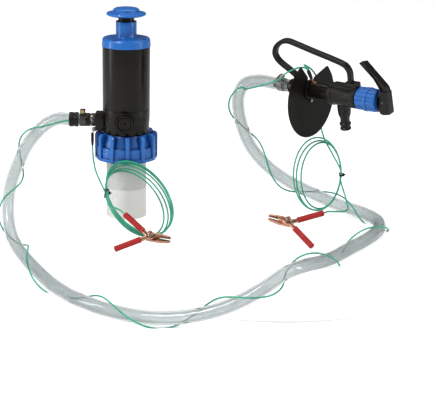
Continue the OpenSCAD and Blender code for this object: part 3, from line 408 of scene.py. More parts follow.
def scratch_group():
    """Fine drawn scratches along one axis: height = noise stretched 24 to 1 along the metal's grain."""
    tree, got, put = new_group("Drawn metal", {"Vector": "v", "Scale": "f"}, {"Height": "f", "Shade": "f"})
    long = node(tree, "Mapping", {"Vector": got["Vector"], "Scale": (1, 1, 24)}).outputs[0]
    set_inputs(tree, put, {"Height": noise(tree, long, got["Scale"], 3.0),
                           "Shade": remap(tree, noise(tree, got["Vector"], 150.0, 6.0), 0.35, 0.7)})


def cleared(owner):
    """Empty node tree of a material or a world."""
    owner.use_nodes = True
    owner.node_tree.nodes.clear()
    return owner.node_tree


def new_material(name):
    """Material with its output, its Principled shader and Object coordinates."""
    made = bpy.data.materials.new(name)
    tree = cleared(made)
    shader = node(tree, "BsdfPrincipled")
    node(tree, "OutputMaterial", {0: shader.outputs[0]})
    return made, tree, shader, node(tree, "TexCoord").outputs["Object"]


def bumped(tree, shader, height, strength, distance):
    """Bump by a height on a shader's normal."""
    bump = node(tree, "Bump", {"Height": height, "Strength": strength, "Distance": distance})
    set_inputs(tree, shader, {"Normal": bump.outputs[0]})


def rgba(colour):
    """Colour with full alpha."""
    return (*colour[:3], 1.0)


def plastic(name, colour, worn, rough, grain=900.0, depth=0.12, edge=0.5, dust=0.25, coat=0.0, specular=0.5,
            pocket_shade_distance=0.0):
    """Moulded plastic: edge wear, dust, painted shade that darkens narrow recesses, then grain as a bump."""
    made, tree, shader, place = new_material(name)
    wear = group(tree, "Rubbed edges", {"Vector": place, "Color": rgba(colour), "Worn Color": rgba(worn),
                                        "Roughness": rough, "Worn Roughness": min(rough + 0.15, 0.9),
                                        "Amount": edge, "Scale": 60.0})
    lay = group(tree, "Settled dust", {"Vector": place, "Color": wear["Color"],
                                       "Roughness": wear["Roughness"], "Amount": dust})
    shown = lay["Color"]
    # Painted shade: recesses that the ambient occlusion finds are darkened towards a deep shade of the
    # colour.
    if pocket_shade_distance:
        hollow = node(tree, "AmbientOcclusion", {"Distance": pocket_shade_distance}, samples=6).outputs["AO"]
        deep = tuple(v * k for v, k in zip(colour, (0.1, 0.12, 0.25)))
        shown = mix_colour(tree, remap(tree, hollow, 0.42, 0.92, 1.0, 0.0), shown, rgba(deep))
    set_inputs(tree, shader, {"Base Color": shown, "Roughness": lay["Roughness"], "Coat Weight": coat,
                              "Coat Roughness": 0.12, "Specular IOR Level": specular})
    mould = group(tree, "Moulded grain", {"Vector": place, "Scale": grain})
    bumped(tree, shader, mould["Height"], depth, 0.0003)
    return made


def metal(name, colour, stain, rough, lines=700.0):
    """Plated or turned metal: drawn lines as a bump, stains in its colour, brighter edges."""
    made, tree, shader, place = new_material(name)
    drawn = group(tree, "Drawn metal", {"Vector": place, "Scale": lines})
    bright = tuple(min(c * 1.25, 1.0) for c in colour)
    wear = group(tree, "Rubbed edges", {"Vector": place, "Color": mix_colour(tree, drawn["Shade"],
                                                                             rgba(colour), rgba(stain)),
                                        "Worn Color": rgba(bright), "Roughness": rough,
                                        "Worn Roughness": rough * 0.6, "Amount": 0.35, "Scale": 90.0})
    set_inputs(tree, shader, {"Base Color": wear["Color"], "Roughness": wear["Roughness"], "Metallic": 1.0})
    bumped(tree, shader, drawn["Height"], 0.15, 0.0002)
    return made


def clear_vinyl(name, colour):
    """Clear hose: a refracting wall, hazier in patches, with painted shade where it is seen edge on."""
    made, tree, shader, place = new_material(name)
    haze = noise(tree, place, 70.0, 4.0)
    facing = node(tree, "LayerWeight", {"Blend": 0.35}).outputs["Facing"]
    clear = mix_colour(tree, haze, rgba(colour), (0.74, 0.77, 0.77, 1))
    # Painted shade: the colour darkens towards grey where the wall is seen edge on.
    tint_and_edge_shade = mix_colour(tree, math_node(tree, "POWER", facing, 1.3), clear, (0.3, 0.33, 0.33, 1))
    set_inputs(tree, shader, {"Base Color": tint_and_edge_shade, "Roughness": remap(tree, haze, 0.3, 0.8, 0.05, 0.14),
                              "Transmission Weight": 0.9, "IOR": 1.08, "Coat Weight": 0.6,
                              "Coat Roughness": 0.08})
    bumped(tree, shader, noise(tree, place, 120.0), 0.03, 0.0003)
    return made


def milky_pipe(name, colour, deep, change_z):
    """Milky polythene: paler below change_z, greyer above it, with soft cloudiness."""
    made, tree, shader, place = new_material(name)
    z = node(tree, "SeparateXYZ", {0: place}).outputs[2]
    cloud = noise(tree, place, 26.0, 4.0)
    upper = remap(tree, z, change_z - 0.0012, change_z + 0.0012)
    upper = times(tree, upper, math_node(tree, "ADD", cloud, 0.45), True)
    lay = group(tree, "Settled dust", {"Vector": place, "Color": mix_colour(tree, upper, rgba(colour),
                                                                            rgba(deep)),
                                       "Roughness": remap(tree, cloud, 0.3, 0.7, 0.24, 0.4), "Amount": 0.2})
    set_inputs(tree, shader, {"Base Color": lay["Color"], "Roughness": lay["Roughness"],
                              "Transmission Weight": 0.12, "IOR": 1.3})
    bumped(tree, shader, noise(tree, place, 340.0), 0.06, 0.0003)
    return made


def wire_sheath(name, colour, shade):
    """Vinyl sheath over laid strands: a bump that twists with the along and around values."""
    made, tree, shader, place = new_material(name)
    along, around = (node(tree, "Attribute", attribute_name=k).outputs["Fac"] for k in ("along", "around"))
    twist = math_node(tree, "ADD", times(tree, along, 700.0), times(tree, around, 4.0))
    tone = remap(tree, noise(tree, place, 55.0, 4.0), 0.35, 0.7)
    set_inputs(tree, shader, {"Base Color": mix_colour(tree, tone, rgba(colour), rgba(shade)),
                              "Roughness": remap(tree, tone, 0.0, 1.0, 0.3, 0.45)})
    bumped(tree, shader, math_node(tree, "SINE", twist), 0.12, 0.0002)
    return made


# ---------- Settings ----------

def colour_of(name, description, default):
    """Colour setting."""
    return FloatVectorProperty(name=name, description=description, default=default, subtype="COLOR", size=3,
                               min=0, max=1)


def length_of(name, description, default, low, high):
    """Length setting, in metres."""
    return FloatProperty(name=name, description=description, default=default, min=low, max=high,
                         unit="LENGTH")


def number_of(name, description, default, low, high):
    """Whole-number setting."""
    return IntProperty(name=name, description=description, default=default, min=low, max=high)


class FinishSettings(bpy.types.PropertyGroup):
    """Colours of the pump's finishes."""
    blue: colour_of("Blue plastic", "Knob, top cap and both nuts", (0.012, 0.128, 0.46))
    black: colour_of("Black plastic", "Barrel, base, tap and guard", (0.006, 0.0051, 0.0037))
    green: colour_of("Wire green", "Sheath of the bonding wires", (0.03, 0.40, 0.24))
    red: colour_of("Sleeve red", "Ribbed sleeves of the clips", (0.37, 0.006, 0.004))
    copper: colour_of("Copper", "Plated halves of the clips", (0.72, 0.41, 0.29))
    steel: colour_of("Steel", "Screws, bands and the hose tail", (0.30, 0.285, 0.265))
    brass: colour_of("Brass", "Worm screws and the poppet", (0.42, 0.34, 0.16))
    pipe: colour_of("Milky pipe", "Adapter pipe", (0.8, 0.79, 0.76))
    vinyl: colour_of("Clear vinyl", "Tint of the hose", (0.62, 0.66, 0.66))


class SizeSettings(bpy.types.PropertyGroup):
    """Sizes of the shapes that the dressed pump adds to its solids."""
    hose_r: length_of("Hose radius", "Outside of the clear hose", 0.0095, 0.008, 0.0105)
    hose_bore: length_of("Hose bore radius", "Inside of the clear hose", 0.0068, 0.004, 0.008)
    wire_r: length_of("Wire radius", "Outside of a bonding wire's sheath", 0.00125, 0.0008, 0.0015)
    nut_ribs: number_of("Union nut ribs", "Wing ribs round the union nut", 12, 6, 18)
    bonnet_ribs: number_of("Bonnet nut ribs", "Flat ribs round the bonnet nut", 8, 6, 12)
    grip_rings: number_of("Sleeve rings", "Rings moulded round each clip sleeve", 11, 4, 14)
    loop_ridges: number_of("Loop ridges", "Grip ridges along the hand loop", 46, 20, 80)


def finishes():
    """Each finish by its short name."""
    c = bpy.context.scene.drum_pump_finish
    grey = (0.013, 0.0115, 0.009)
    dark = tuple(v * 0.4 for v in c.steel)
    shade = tuple(v * 0.6 for v in c.green)
    return {"blue": lambda n: plastic(n, c.blue, (0.04, 0.24, 0.68), 0.3, 1100.0, 0.08, 0.35, 0.03, 0.15,
                                      0.4, 0.02), "black": lambda n: plastic(n, c.black, grey, 0.24, 1300.0,
                                                                             0.05, 0.3, 0.008, 0.0, 0.24),
            "matt": lambda n: plastic(n, c.black, grey, 0.5, 700.0, 0.3, 0.3, 0.015, 0.0, 0.12),
            "satin": lambda n: plastic(n, c.black, grey, 0.34, 900.0, 0.12, 0.35, 0.01, 0.0, 0.3),
            "rubber": lambda n: plastic(n, (0.012, 0.012, 0.012), grey, 0.6, 500.0, 0.25, 0.2, 0.1),
            "ivory": lambda n: plastic(n, (0.72, 0.7, 0.64), (0.82, 0.8, 0.76), 0.42, 800.0, 0.1, 0.2,
                                       0.05), "red": lambda n: plastic(n, c.red, (0.45, 0.03, 0.02), 0.38,
                                                                       600.0, 0.15, 0.25, 0.02, 0.1, 0.35),
            "steel": lambda n: metal(n, c.steel, (0.24, 0.23, 0.215), 0.26),
            # The darkened steel finish below is darkened steel on the outlet tail and clamp, and painted
            # shade on the lever pin and the valve stem.
            "dark_steel_and_shade": lambda n: metal(n, dark, (0.07, 0.066, 0.06), 0.3),
            "brass": lambda n: metal(n, c.brass, (0.48, 0.32, 0.15), 0.3),
            "copper": lambda n: metal(n, c.copper, (0.56, 0.27, 0.17), 0.28, 500.0),
            "lug": lambda n: metal(n, (0.4, 0.2, 0.13), (0.25, 0.13, 0.09), 0.4, 500.0),
            "green": lambda n: wire_sheath(n, c.green, shade), "vinyl": lambda n: clear_vinyl(n, c.vinyl),
            "pipe": lambda n: milky_pipe(n, c.pipe, (0.58, 0.58, 0.56), 0.046),}


def finish_of(kind):
    """The material of a finish, made at its first use."""
    name = "finish_" + kind
    return bpy.data.materials.get(name) or finishes()[kind](name)


def dressed(piece, kind, body, *nodes):
    """Piece with its finish, riding on its body, in place of its CAD nodes."""
    piece.data.materials.append(finish_of(kind))
    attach(piece, body)
    if nodes:
        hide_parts(*nodes)
    return piece


def cord_mesh(name, path, radius, sides, bore=0.0):
    """Tube round a path, hollow if it has a bore, with attributes for length along and angle around."""
    n, b = path_frames(path)
    a = circle(sides)
    radii = [radius] + ([bore] if bore else [])
    rows = len(path)
    shells = [path[:, None, :] + r * (np.cos(a)[None, :, None] * n[:, None, :]
                                      + np.sin(a)[None, :, None] * b[:, None, :]) for r in radii]
    faces = grid_faces(rows, sides, False, True)[:, ::-1].tolist()
    if bore:
        inner = rows * sides
        faces += (grid_faces(rows, sides, False, True) + inner).tolist()
        j = np.arange(sides)
        k = (j + 1) % sides
        faces += np.stack([j, k, inner + k, inner + j], 1).tolist()
        last = (rows - 1) * sides
        faces += np.stack([last + k, last + j, inner + last + j, inner + last + k], 1).tolist()
    else:
        faces += [list(range(sides)), list(range((rows - 1) * sides, rows * sides))[::-1]]
    mesh = bpy.data.meshes.new(name)
    mesh.from_pydata(np.concatenate(shells).reshape(-1, 3).tolist(), [], faces)
    bm = bmesh.new()
    bm.from_mesh(mesh)
    bmesh.ops.recalc_face_normals(bm, faces=bm.faces)
    bm.to_mesh(mesh)
    bm.free()
    along, around = np.repeat(lengths_to(path), sides), np.tile(a, rows)
    for label, values in (("along", along), ("around", around)):
        attribute = mesh.attributes.new(label, "FLOAT", "POINT")
        attribute.data.foreach_set("value", np.tile(values, len(radii)).astype(np.float32))
    return shown_mesh(name, mesh, 60)


# ---------- Camera and stage ----------

PLINTH_AT = (0.222, -0.018, 0)
PLINTH_R = 0.297
FLOOR_Z = -0.0572
FLOOR_HALF = 6.0


def build_camera():
    """Camera at the photograph's viewpoint, 16 degrees down, with a long lens."""
    data = bpy.data.cameras.new("studio_camera")
    data.sensor_width = 36.0
    data.lens = 123.19
    data.clip_end = 20.0
    camera = bpy.data.objects.new("studio_camera", data)
    forward = Vector((0.0, 0.96041, -0.27858))
    up = Vector((-0.01753, 0.27853, 0.96027))
    right = forward.cross(up).normalized()
    up = right.cross(forward).normalized()
    turn = Matrix((right, up, -forward.normalized())).transposed()
    camera.matrix_world = shift(0.14251, -2.22669, 0.66802) @ turn.to_4x4()
    bpy.context.scene.collection.objects.link(camera)
    bpy.context.scene.camera = camera


def soft_light(name, place, aim, size, watts):
    """Rectangular soft box that faces a point."""
    data = bpy.data.lights.new(name, "AREA")
    data.shape = "RECTANGLE"
    data.size, data.size_y = size
    data.energy = watts
    lamp = bpy.data.objects.new(name, data)
    lamp.location = place
    lamp.rotation_euler = (Vector(aim) - Vector(place)).to_track_quat("-Z", "Y").to_euler()
    bpy.context.scene.collection.objects.link(lamp)


def seen_plainly(tree, rays):
    """One for rays from the camera or through something clear, and zero for the rest."""
    return math_node(tree, "MAXIMUM", rays["Is Camera Ray"], rays["Is Transmission Ray"])


def build_floor():
    """Pale floor and a low round plinth at the height that the adapter screws into."""
    made = bpy.data.materials.new("stage_floor")
    tree = cleared(made)
    shade = node(tree, "BsdfDiffuse", {"Color": (0.8, 0.8, 0.8, 1)}).outputs[0]
    share = times(tree, seen_plainly(tree, node(tree, "LightPath").outputs), 0.5)
    glow = node(tree, "Emission", {"Color": (1, 1, 1, 1), "Strength": share}).outputs[0]
    node(tree, "OutputMaterial", {0: node(tree, "AddShader", {0: shade, 1: glow}).outputs[0]})
    corners = [(x * FLOOR_HALF, y * FLOOR_HALF, FLOOR_Z) for x, y in ((-1, -1), (1, -1), (1, 1), (-1, 1))]
    floor = make_piece("stage_floor", [(corners, [[0, 1, 2, 3]])])
    r, z = PLINTH_R / MM, FLOOR_Z / MM
    edge = rounded([(0, 0), (r, 0), (r, z), (0, z)], 6, 6, False)
    plinth = make_piece("stage_plinth", [turned(edge, 180, False)], shift(*PLINTH_AT))
    for piece in (floor, plinth):
        piece.data.materials.append(made)


def build_stage():
    """Floor and plinth, a white world that shines less on gloss, and five soft boxes."""
    build_floor()
    world = bpy.data.worlds.new("studio_world")
    bpy.context.scene.world = world
    tree = cleared(world)
    rays = node(tree, "LightPath").outputs
    plain_light = remap(tree, rays["Is Glossy Ray"], 0.0, 1.0, 0.5, 0.1)
    strength = math_node(tree, "MAXIMUM", seen_plainly(tree, rays), plain_light)
    glow = node(tree, "Background", {0: (1, 1, 1, 1), 1: strength}).outputs[0]
    node(tree, "OutputWorld", {0: glow})
    soft_light("key_box", (-1.1, -1.3, 1.9), (0.1, -0.05, 0.1), (0.8, 0.8), 34)
    soft_light("fill_box", (1.9, -1.2, 1.1), (0.1, -0.05, 0.1), (1.0, 1.0), 8)
    soft_light("top_box", (0.2, 0.6, 2.1), (0.1, -0.05, 0.0), (1.4, 1.0), 10)
    soft_light("left_strip", (-1.6, -0.35, 0.45), (0, 0, 0.25), (0.22, 1.4), 8)
    soft_light("right_strip", (1.7, -0.35, 0.45), (0, 0, 0.25), (0.22, 1.4), 8)


# ---------- Hose and bonding leads ----------

def tap_point(x, y, z):
    """A point of the tap's own frame, given in millimetres, in the part's frame."""
    return tuple(TAP_PLACE @ Vector((x * MM, y * MM, z * MM)))


def sleeve_point(side, along):
    """A point beside the middle of the tap lug's leaning sleeve."""
    lean, turn = math.radians(15), math.radians(8)
    x = -55 - along * math.sin(lean)
    z = 12.4 + along * math.cos(lean)
    y = side * math.cos(turn) - z * math.sin(turn)
    return tap_point(x, y, z * math.cos(turn) + side * math.sin(turn))


def clip_point(clip, x, y, z):
    """A point of a clip's frame, given in millimetres; clip 2 is the mirror image of clip 1."""
    return tuple(CLIP_PLACES[clip] @ Vector((x * MM, y * MM * CLIP_SIDES[clip], z * MM)))


COILS = {
    "lead_1": {"at": (-25, -83, 52), "across": (50, 0, -11), "up": (-14, 43, 43), "half": (43, 54.5),
               "step": 3.4, "loops": 5, "sway": 3.2},
    "lead_2": {"at": (329, -26, 78), "across": (-1, 0, 0), "up": (0, 0, 1), "half": (30, 52),
               "step": -3.4, "loops": 3, "sway": 5.0},
}


def coil_axes(lead):
    """Unit vectors across a coil, up it and along its row of loops."""
    across, up = (unit(np.array(COILS[lead][k], float)) for k in ("across", "up"))
    return across, up, unit(np.cross(across, up))


def coil_path(lead, per_loop=24):
    """Loops side by side: at + across w (1 + cos a) - up h sin a + out step k, where w and h grow a little
    each loop and sway by a sine, so no two loops lie alike."""
    c = COILS[lead]
    across, up, out = coil_axes(lead)
    i = np.arange(c["loops"] * per_loop + 1)
    a = np.radians(180 - 360 * i / per_loop)[:, None]
    k = (i / per_loop)[:, None]
    w, h = c["half"]
    sway = c["sway"] * np.sin(2 * math.pi * 0.83 * k + 0.9)
    return MM * (np.array(c["at"]) + across * (w + 1.7 * k + 0.4 * sway) * (1 + np.cos(a))
                 - up * (h + 1.7 * k + 0.8 * sway) * np.sin(a) + out * c["step"] * k)


def lead_path(lead):
    """Route of a lead: down from its sleeve, round its coil, and on to its clip's fixed handle."""
    first, last = coil_path(lead)[[0, -1]]
    up = coil_axes(lead)[1]
    handle = math.radians(HANDLE_TURN)
    cosine, sine = math.cos(handle), math.sin(handle)
    reach = HANDLE_LEN / MM
    clip = lead.replace("lead", "clip")
    end = clip_point(clip, -reach * cosine, reach * sine, WIRE_LEVEL)
    ahead = clip_point(clip, -(reach + 8) * cosine, (reach + 8) * sine, WIRE_LEVEL)
    if lead == "lead_1":
        drop = [(-0.0512, -0.009, 0.112), (-0.0512, -0.009, 0.107), (-0.049, -0.020, 0.092),
                (-0.044, -0.036, 0.078), (-0.034, -0.062, 0.066)]
        tail = [last - 0.008 * up, (-0.016, -0.120, 0.048), (-0.008, -0.136, 0.050)]
    else:
        drop = [sleeve_point(1.4, 21), sleeve_point(1.4, 25), tap_point(-73, 4, 35.5),
                tap_point(-79, 16, 30), tap_point(-78, 31, 16), tap_point(-74, 42, -10),
                tap_point(-72, 41, -30), (0.301, 0.021, 0.165), (0.299, 0.020, 0.153),
                (0.300, 0.015, 0.138), (0.305, 0, 0.124), (0.315, -0.015, 0.108)]
        tail = [last - 0.010 * up, (0.338, -0.050, 0.040), (0.334, -0.090, 0.038)]
    above = first + 0.008 * up - (0.001 if lead == "lead_2" else 0) * np.array([1, 0, 0])
    down = smooth_path(drop + [above, first], 6)
    crimp = clip_point(clip, -CRIMP_AT * cosine, CRIMP_AT * sine, WIRE_LEVEL)
    on = smooth_path([last] + tail + [ahead, end, crimp], 6)
    return np.vstack([down[:-1], smooth_path(coil_path(lead), 3), on[1:]])


def winding_path():
    """Helix round the hose's middle line, joined to both ends by short bends."""
    p = smooth_path(HOSE_POINTS, 4)
    n, b = path_frames(p)
    i = np.arange(8, len(p) - 8)
    a = (2 * math.pi * HOSE_TURNS * i / (len(p) - 1))[:, None]
    body = p[i] + WIND_R * (np.cos(a) * n[i] + np.sin(a) * b[i])
    end = [tap_point(-112, -15, 12), tap_point(-97, -14, 25), tap_point(-81, -12, 34),
           tap_point(-68, -11, 38.5), sleeve_point(-1.4, 25), sleeve_point(-1.4, 21)]
    return smooth_path(np.vstack([WIRE_START, body, end]), 3)


def hose_path():
    """Middle line of the hose, with the two straight stretches over its tails."""
    route = smooth_path(HOSE_POINTS, 8)
    tap_end = tap_point(-TAIL_END / MM + 28, 0, 0)
    return np.vstack([[(-0.0545, 0, 0.150), (-0.071, 0, 0.150)], route, [tap_end]])


def build_cords(sizes):
    """Clear hose and the wire wound round it."""
    path = even_path(hose_path(), 0.004)
    hose = cord_mesh("clear_hose", path, sizes.hose_r, 32, sizes.hose_bore)
    dressed(hose, "vinyl", "root", "hose", "hose_ends")
    path = winding_path()
    wire = cord_mesh("hose_bond_wire", path, sizes.wire_r, 10)
    dressed(wire, "green", "root", "hose_wire")


def build_lead(sizes, lead):
    """One coiled lead."""
    path = lead_path(lead)
    wire = cord_mesh(lead + "_wire", path, sizes.wire_r, 10)
    dressed(wire, "green", "root", lead + "_drop", lead + "_coil", lead + "_tail")


# ---------- Adapter and union nut ----------

def shaped(corners, radius, steps=4):
    """Closed outline in millimetres with rounded corners, in metres."""
    return scaled(rounded(corners, radius, steps))


def ring_part(r_out, r_in, z0, z1, edge=0.4, n=96):
    """Ring with rounded rims: a rectangle with round corners turned about the axis."""
    return turned(rounded([(r_in, z0), (r_out, z0), (r_out, z1), (r_in, z1)], edge), n)


def rod_part(r, z0, z1, edge=0.4, n=48):
    """Round rod with rounded ends: an open outline from axis to axis, turned."""
    return turned(rounded([(1e-4, z0), (r, z0), (r, z1), (1e-4, z1)], edge, 4, False), n, False)


def hex_part(across, z0, z1, chamfer=0.8, bore=0.0):
    """Hexagon head: a hexagon whose rims a cone cuts back, so each corner runs out lower than each flat."""
    a = circle(96)
    flat = across / np.cos((a + math.pi / 6) % (math.pi / 3) - math.pi / 6)
    levels = [(z0, 1.0), (z0 + chamfer, 0.0), (z1 - chamfer, 0.0), (z1, 1.0)]
    rings = []
    for z, cut in levels:
        r = np.minimum(flat, across + (flat.max() - across) * (1 - cut) + 0.02)
        rings.append(np.column_stack([r * np.cos(a), r * np.sin(a), np.full(96, z)]))
    low = [np.column_stack([bore * np.cos(a), bore * np.sin(a), np.full(96, z)]) for z in (z1, z0)]
    pts = scaled(np.array(rings + (low if bore else [])))
    faces = grid_faces(len(pts), 96, bool(bore), True).tolist()
    if not bore:
        faces += [list(range(96)), list(range(3 * 96, 4 * 96))]
    return pts, faces


def build_adapter():
    """Pipe with a rounded foot, a right-hand thread below the lid and a plain collar inside the nut."""
    pitch = 2.3

    def thread(a, r, z):
        turn = (z / pitch + a / (2 * math.pi)) % 1
        depth = np.clip((np.abs(turn - 0.5) * 2 - 0.3) / 0.45, 0, 1)
        ends = np.clip((z + 22) / 2, 0, 1) * np.clip((-1.5 - z) / 2, 0, 1)
        return np.where(r > 29.9, -1.1 * depth * ends, 0)

    outside = [(26.2, -24), (29.2, -24), (30.15, -23)]
    outside += [(30.15, z) for z in np.arange(-22.8, -0.6, 0.2)]
    outside += [(30.15, -0.4), (30.65, 0), (30.65, 2), (30.65, 46), (30.65, 92), (30.65, 94), (40.9, 94),
                (40.9, 105), (26.2, 105), (26.2, 60), (26.2, 0)]
    pipe = make_piece("adapter_pipe_moulded", [turned(outside, 144, True, thread)])
    dressed(pipe, "pipe", "root", "adapter_pipe")
    ring = [(33.15 + 1.9 * math.cos(t), 103.3 + 1.65 * math.sin(t)) for t in circle(20)]
    dressed(make_piece("collar_o_ring", [turned(ring)]), "rubber", "root", "adapter_ring")


RIB_PHASE = 0.2  # of the angle from rib to rib


def build_union_nut(sizes):
    """Nut wall with a serrated band, and wing ribs with arched tops round it."""
    def serrated(a, r, z):
        band = (z > low + 6) & (z < low + 13) & (r > 44.4)
        return np.where(band, 0.25 * np.abs(np.sin(60 * a)), 0)

    low = NUT_Z / MM
    wall = rounded([(41, low), (47, low, 1), (47, low + 5, 0.8), (44.9, low + 5.4, 0.3),
                    (44.9, low + 7, 0.3), (44.9, low + 8.6, 0.3), (44.9, low + 10.4, 0.3),
                    (44.9, low + 12, 0.3), (44.7, low + 14, 0.9), (44.5, low + 20.9, 0.9),
                    (40.6, low + 21.2, 0.9), (40.2, low + 26, 2), (35.5, low + 40, 1.2),
                    (33.4, low + 40, 0.8), (33.4, low + 23.2), (38.1, low + 23), (38.1, low + 13.2),
                    (41, low + 13)], 0.4)
    parts = [turned(wall, 288, True, serrated)]
    rib = rounded([(35, 28), (35, 36.5), (40, 41.4, 2), (45.6, 41, 2.6), (48, 36.5, 3), (47.8, 0.2, 0.6),
                   (42.5, 0.2), (42.5, 12), (38.8, 14), (38.8, 28)], 1.2, 5)
    for i in range(sizes.nut_ribs):
        turn = spin(360 * (i + RIB_PHASE) / sizes.nut_ribs, "Z")
        stand = shift(0, 0, NUT_Z) @ turn @ spin(90, "X")
        parts.append(moved(slab(rib, -3, 3, 1.1, 4), stand))
    nut = make_piece("union_nut_ribbed", parts, None, 42)
    dressed(nut, "blue", "union_nut", "union_nut")


# ---------- Pump body ----------

def build_body():
    """Base with its neck and drawn-in foot, barrel with a fine seam, and the relief boss in front."""
    b, t = BASE_TOP / MM, BARREL_TOP / MM
    base = rounded([(9.7, 105.2), (38, 105.2, 0.8), (38, 115, 0.8), (33, 115.2, 0.6), (33, 132.6, 0.4),
                    (34.6, 133, 1.2), (35.9, 156.4, 0.2), (35.6, 156.8, 0.1), (35.6, 157.4, 0.1),
                    (36, 157.8, 0.2), (36, b - 0.05, 0.15), (9.7, b - 0.05)], 0.4, 4)
    boss = ring_part(15.8, 13.5, 0, RELIEF_LEN, 0.9)
    inner = ring_part(13.7, 9.2, 0, RELIEF_LEN - 0.6, 0.3)
    front = shift(0, -RELIEF_ROOT * MM, RELIEF_Z) @ spin(90, "X")
    parts = [turned(base, 160), moved(boss, front), moved(inner, front)]
    dressed(make_piece("base_moulded", parts, None, 38), "black", "root", "base")
    seam = rounded([(32, b + 0.05), (35.7, b + 0.05, 0.2), (36, b + 0.5, 0.2), (36, t - 1.0, 0.3),
                    (35.6, t - 0.05, 0.2), (32, t - 0.05)], 0.3, 3)
    barrel = make_piece("barrel_moulded", [turned(seam, 160)])
    dressed(barrel, "black", "root", "barrel")


def build_relief_cap():
    """Round port plug: a raised rim, a sunk ring and a small vent in its middle."""
    out = rounded([(1.2, 2.4), (1.2, 0.6, 0.2), (6.6, 0.6, 0.4), (7.4, 1.5, 0.4), (9.4, 1.5, 0.4),
                   (10.4, 0.8, 0.4), (11, 3.4, 0.6), (13.2, 3.4, 0.8), (13.4, -0.2, 0.3), (9, -0.4),
                   (9, -15.8), (6, -15.8), (6, -2), (1.2, -2)], 0.3, 5)
    out = [(x, min(z, 3.6)) for x, z in out]
    place = shift(0, -(RELIEF_ROOT + RELIEF_LEN) * MM, RELIEF_Z) @ spin(90, "X")
    cap = make_piece("relief_plug", [turned(out, 96)], place)
    dressed(cap, "black", "root", "relief_cap")


def build_top_cap():
    """Skirt, shoulder and tower turned in one, with four counterbored holes for the screws."""
    t, top = BARREL_TOP / MM, TOWER_TOP / MM
    out = rounded([(14, t), (37, t, 0.5), (36.7, t + 4, 0.2), (36.2, t + 9.6, 1), (35, t + 12.4, 1.6),
                   (32, t + 13, 1), (19, t + 13, 1.2), (16.6, t + 14.4, 2), (15.7, t + 19, 2),
                   (15.7, top, 1.4), (12.3, top, 0.4), (12.3, top - 3, 0.2), (14, top - 3, 0.2)], 0.4, 5)
    cap = make_piece("top_cap_moulded", [turned(out, 144)])
    places = [spin(90 * i + 150, "Z") @ shift(0.0315, 0, 0) for i in range(4)]
    hole = [rod_part(1.6, t - 1, t + 14, 0.1, 24), rod_part(3.2, t + 10, t + 15, 0.1, 24)]
    bored(cap, [moved(p, at) for at in places for p in hole], 30)
    dressed(cap, "blue", "root", "top_cap")
    head = rounded([(1e-4, t + 10), (2.9, t + 10), (2.9, t + 11.4), (2, t + 12.2), (1.1, t + 12.3),
                    (0.9, t + 11.2), (1e-4, t + 11.2)], 0.3, 4, False)
    screw = [rod_part(1.5, t - 10, t + 10.1, 0.2, 20), turned(head, 32, False)]
    screws = [moved(p, at) for at in places for p in screw]
    dressed(make_piece("cap_screw_set", screws), "steel", "root", "cap_screws")


def bored(piece, cutters, sharp=35):
    """Piece with cutter parts taken out of it, each cut worked out exactly and made part of the mesh."""
    for i, part in enumerate(cutters):
        tool = make_piece(f"{piece.name}_cutter_{i}", [part])
        cut = piece.modifiers.new("Cut", "BOOLEAN")
        cut.operation, cut.solver, cut.object = "DIFFERENCE", "EXACT", tool
        shape = bpy.data.meshes.new_from_object(piece.evaluated_get(bpy.context.evaluated_depsgraph_get()))
        piece.modifiers.clear()
        piece.data = shape
        bpy.data.objects.remove(tool)
    smooth(piece.data, sharp)
    return piece


# ---------- Plunger ----------

def build_knob():
    """Push knob: a dished disc with a rolled rim and a raised crown, and the tube below it."""
    z = KNOB_Z / MM
    out = rounded([(1e-4, z + 4), (12, z + 4, 0.3), (12, z, 0.6), (27, z, 1), (29.6, z + 1.4, 1),
                   (30, z + 2.8, 1), (29, z + 4.4, 1), (25, z + 5.2, 2), (21, z + 6, 1.4), (20, z + 7, 0.8),
                   (19.6, z + 9.6, 1.6), (16.6, z + 11.3, 3), (10, z + 12, 4), (1e-4, z + 11.9)], 0.4, 6,
                  False)
    knob = make_piece("push_knob", [turned(out, 128, False)])
    dressed(knob, "blue", "plunger", "knob")
    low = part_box("plunger_tube")[0][2] / MM
    tube_out = rounded([(3, low), (12, low, 0.4), (12, z + 4, 0.3), (10, z + 4), (10, low + 6),
                        (3, low + 6)], 0.3, 3)
    rod = make_piece("plunger_rod", [turned(tube_out, 96)])
    dressed(rod, "black", "plunger", "plunger_tube")


# ---------- Outlet and clamps ----------

def worm_clamp_parts():
    """Worm band with pressed slots, its folded screw housing and the band's free end, about +Z."""
    def slots(a, r, z):
        worm = np.clip(np.sin(52 * a + z * 0.5) * 3, 0, 1)
        pressed = (r > 10) & (np.abs(z - 4.5) < 3.2) & (np.abs(a - math.pi) < 2.6)
        return np.where(pressed, -0.35 * worm, 0)

    levels = np.linspace(0.4, 8.6, 24)
    outline = [(9.55, 0.1), (10.3, 0.1)] + [(10.42, z) for z in levels] + [(10.3, 8.9), (9.55, 8.9)]
    band = turned(outline, 288, True, slots)
    house = slab(rounded([(10.2, -4.9), (16.0, -4.9), (16.0, 4.9), (10.2, 4.9)], 1.1, 5), 0.6, 8.4, 0.7)
    end = block((9.9, 11.1), (-8.2, -4.6), (0.9, 8.1), 0.4, 0.3)
    return [band, house, end]


def worm_screw_parts():
    """Worm, its hexagon head and driver slot, lying across the housing."""
    place = shift(0.0133, -0.0074, 0.0045) @ spin(-90, "X")
    screw = turned([(1e-4, 2), (2, 2), (2, 12), (1e-4, 12)], 24, False)
    sides = [block((-2.6, 2.6), y, (-0.1, 0.5), 0.3, 0.1) for y in ((-2.6, -0.45), (0.45, 2.6))]
    return [moved(p, place) for p in [screw, hex_part(3.1, 0.3, 2.6, 0.5)] + sides]


OUTLET_OUT = spin(-90, "Y")


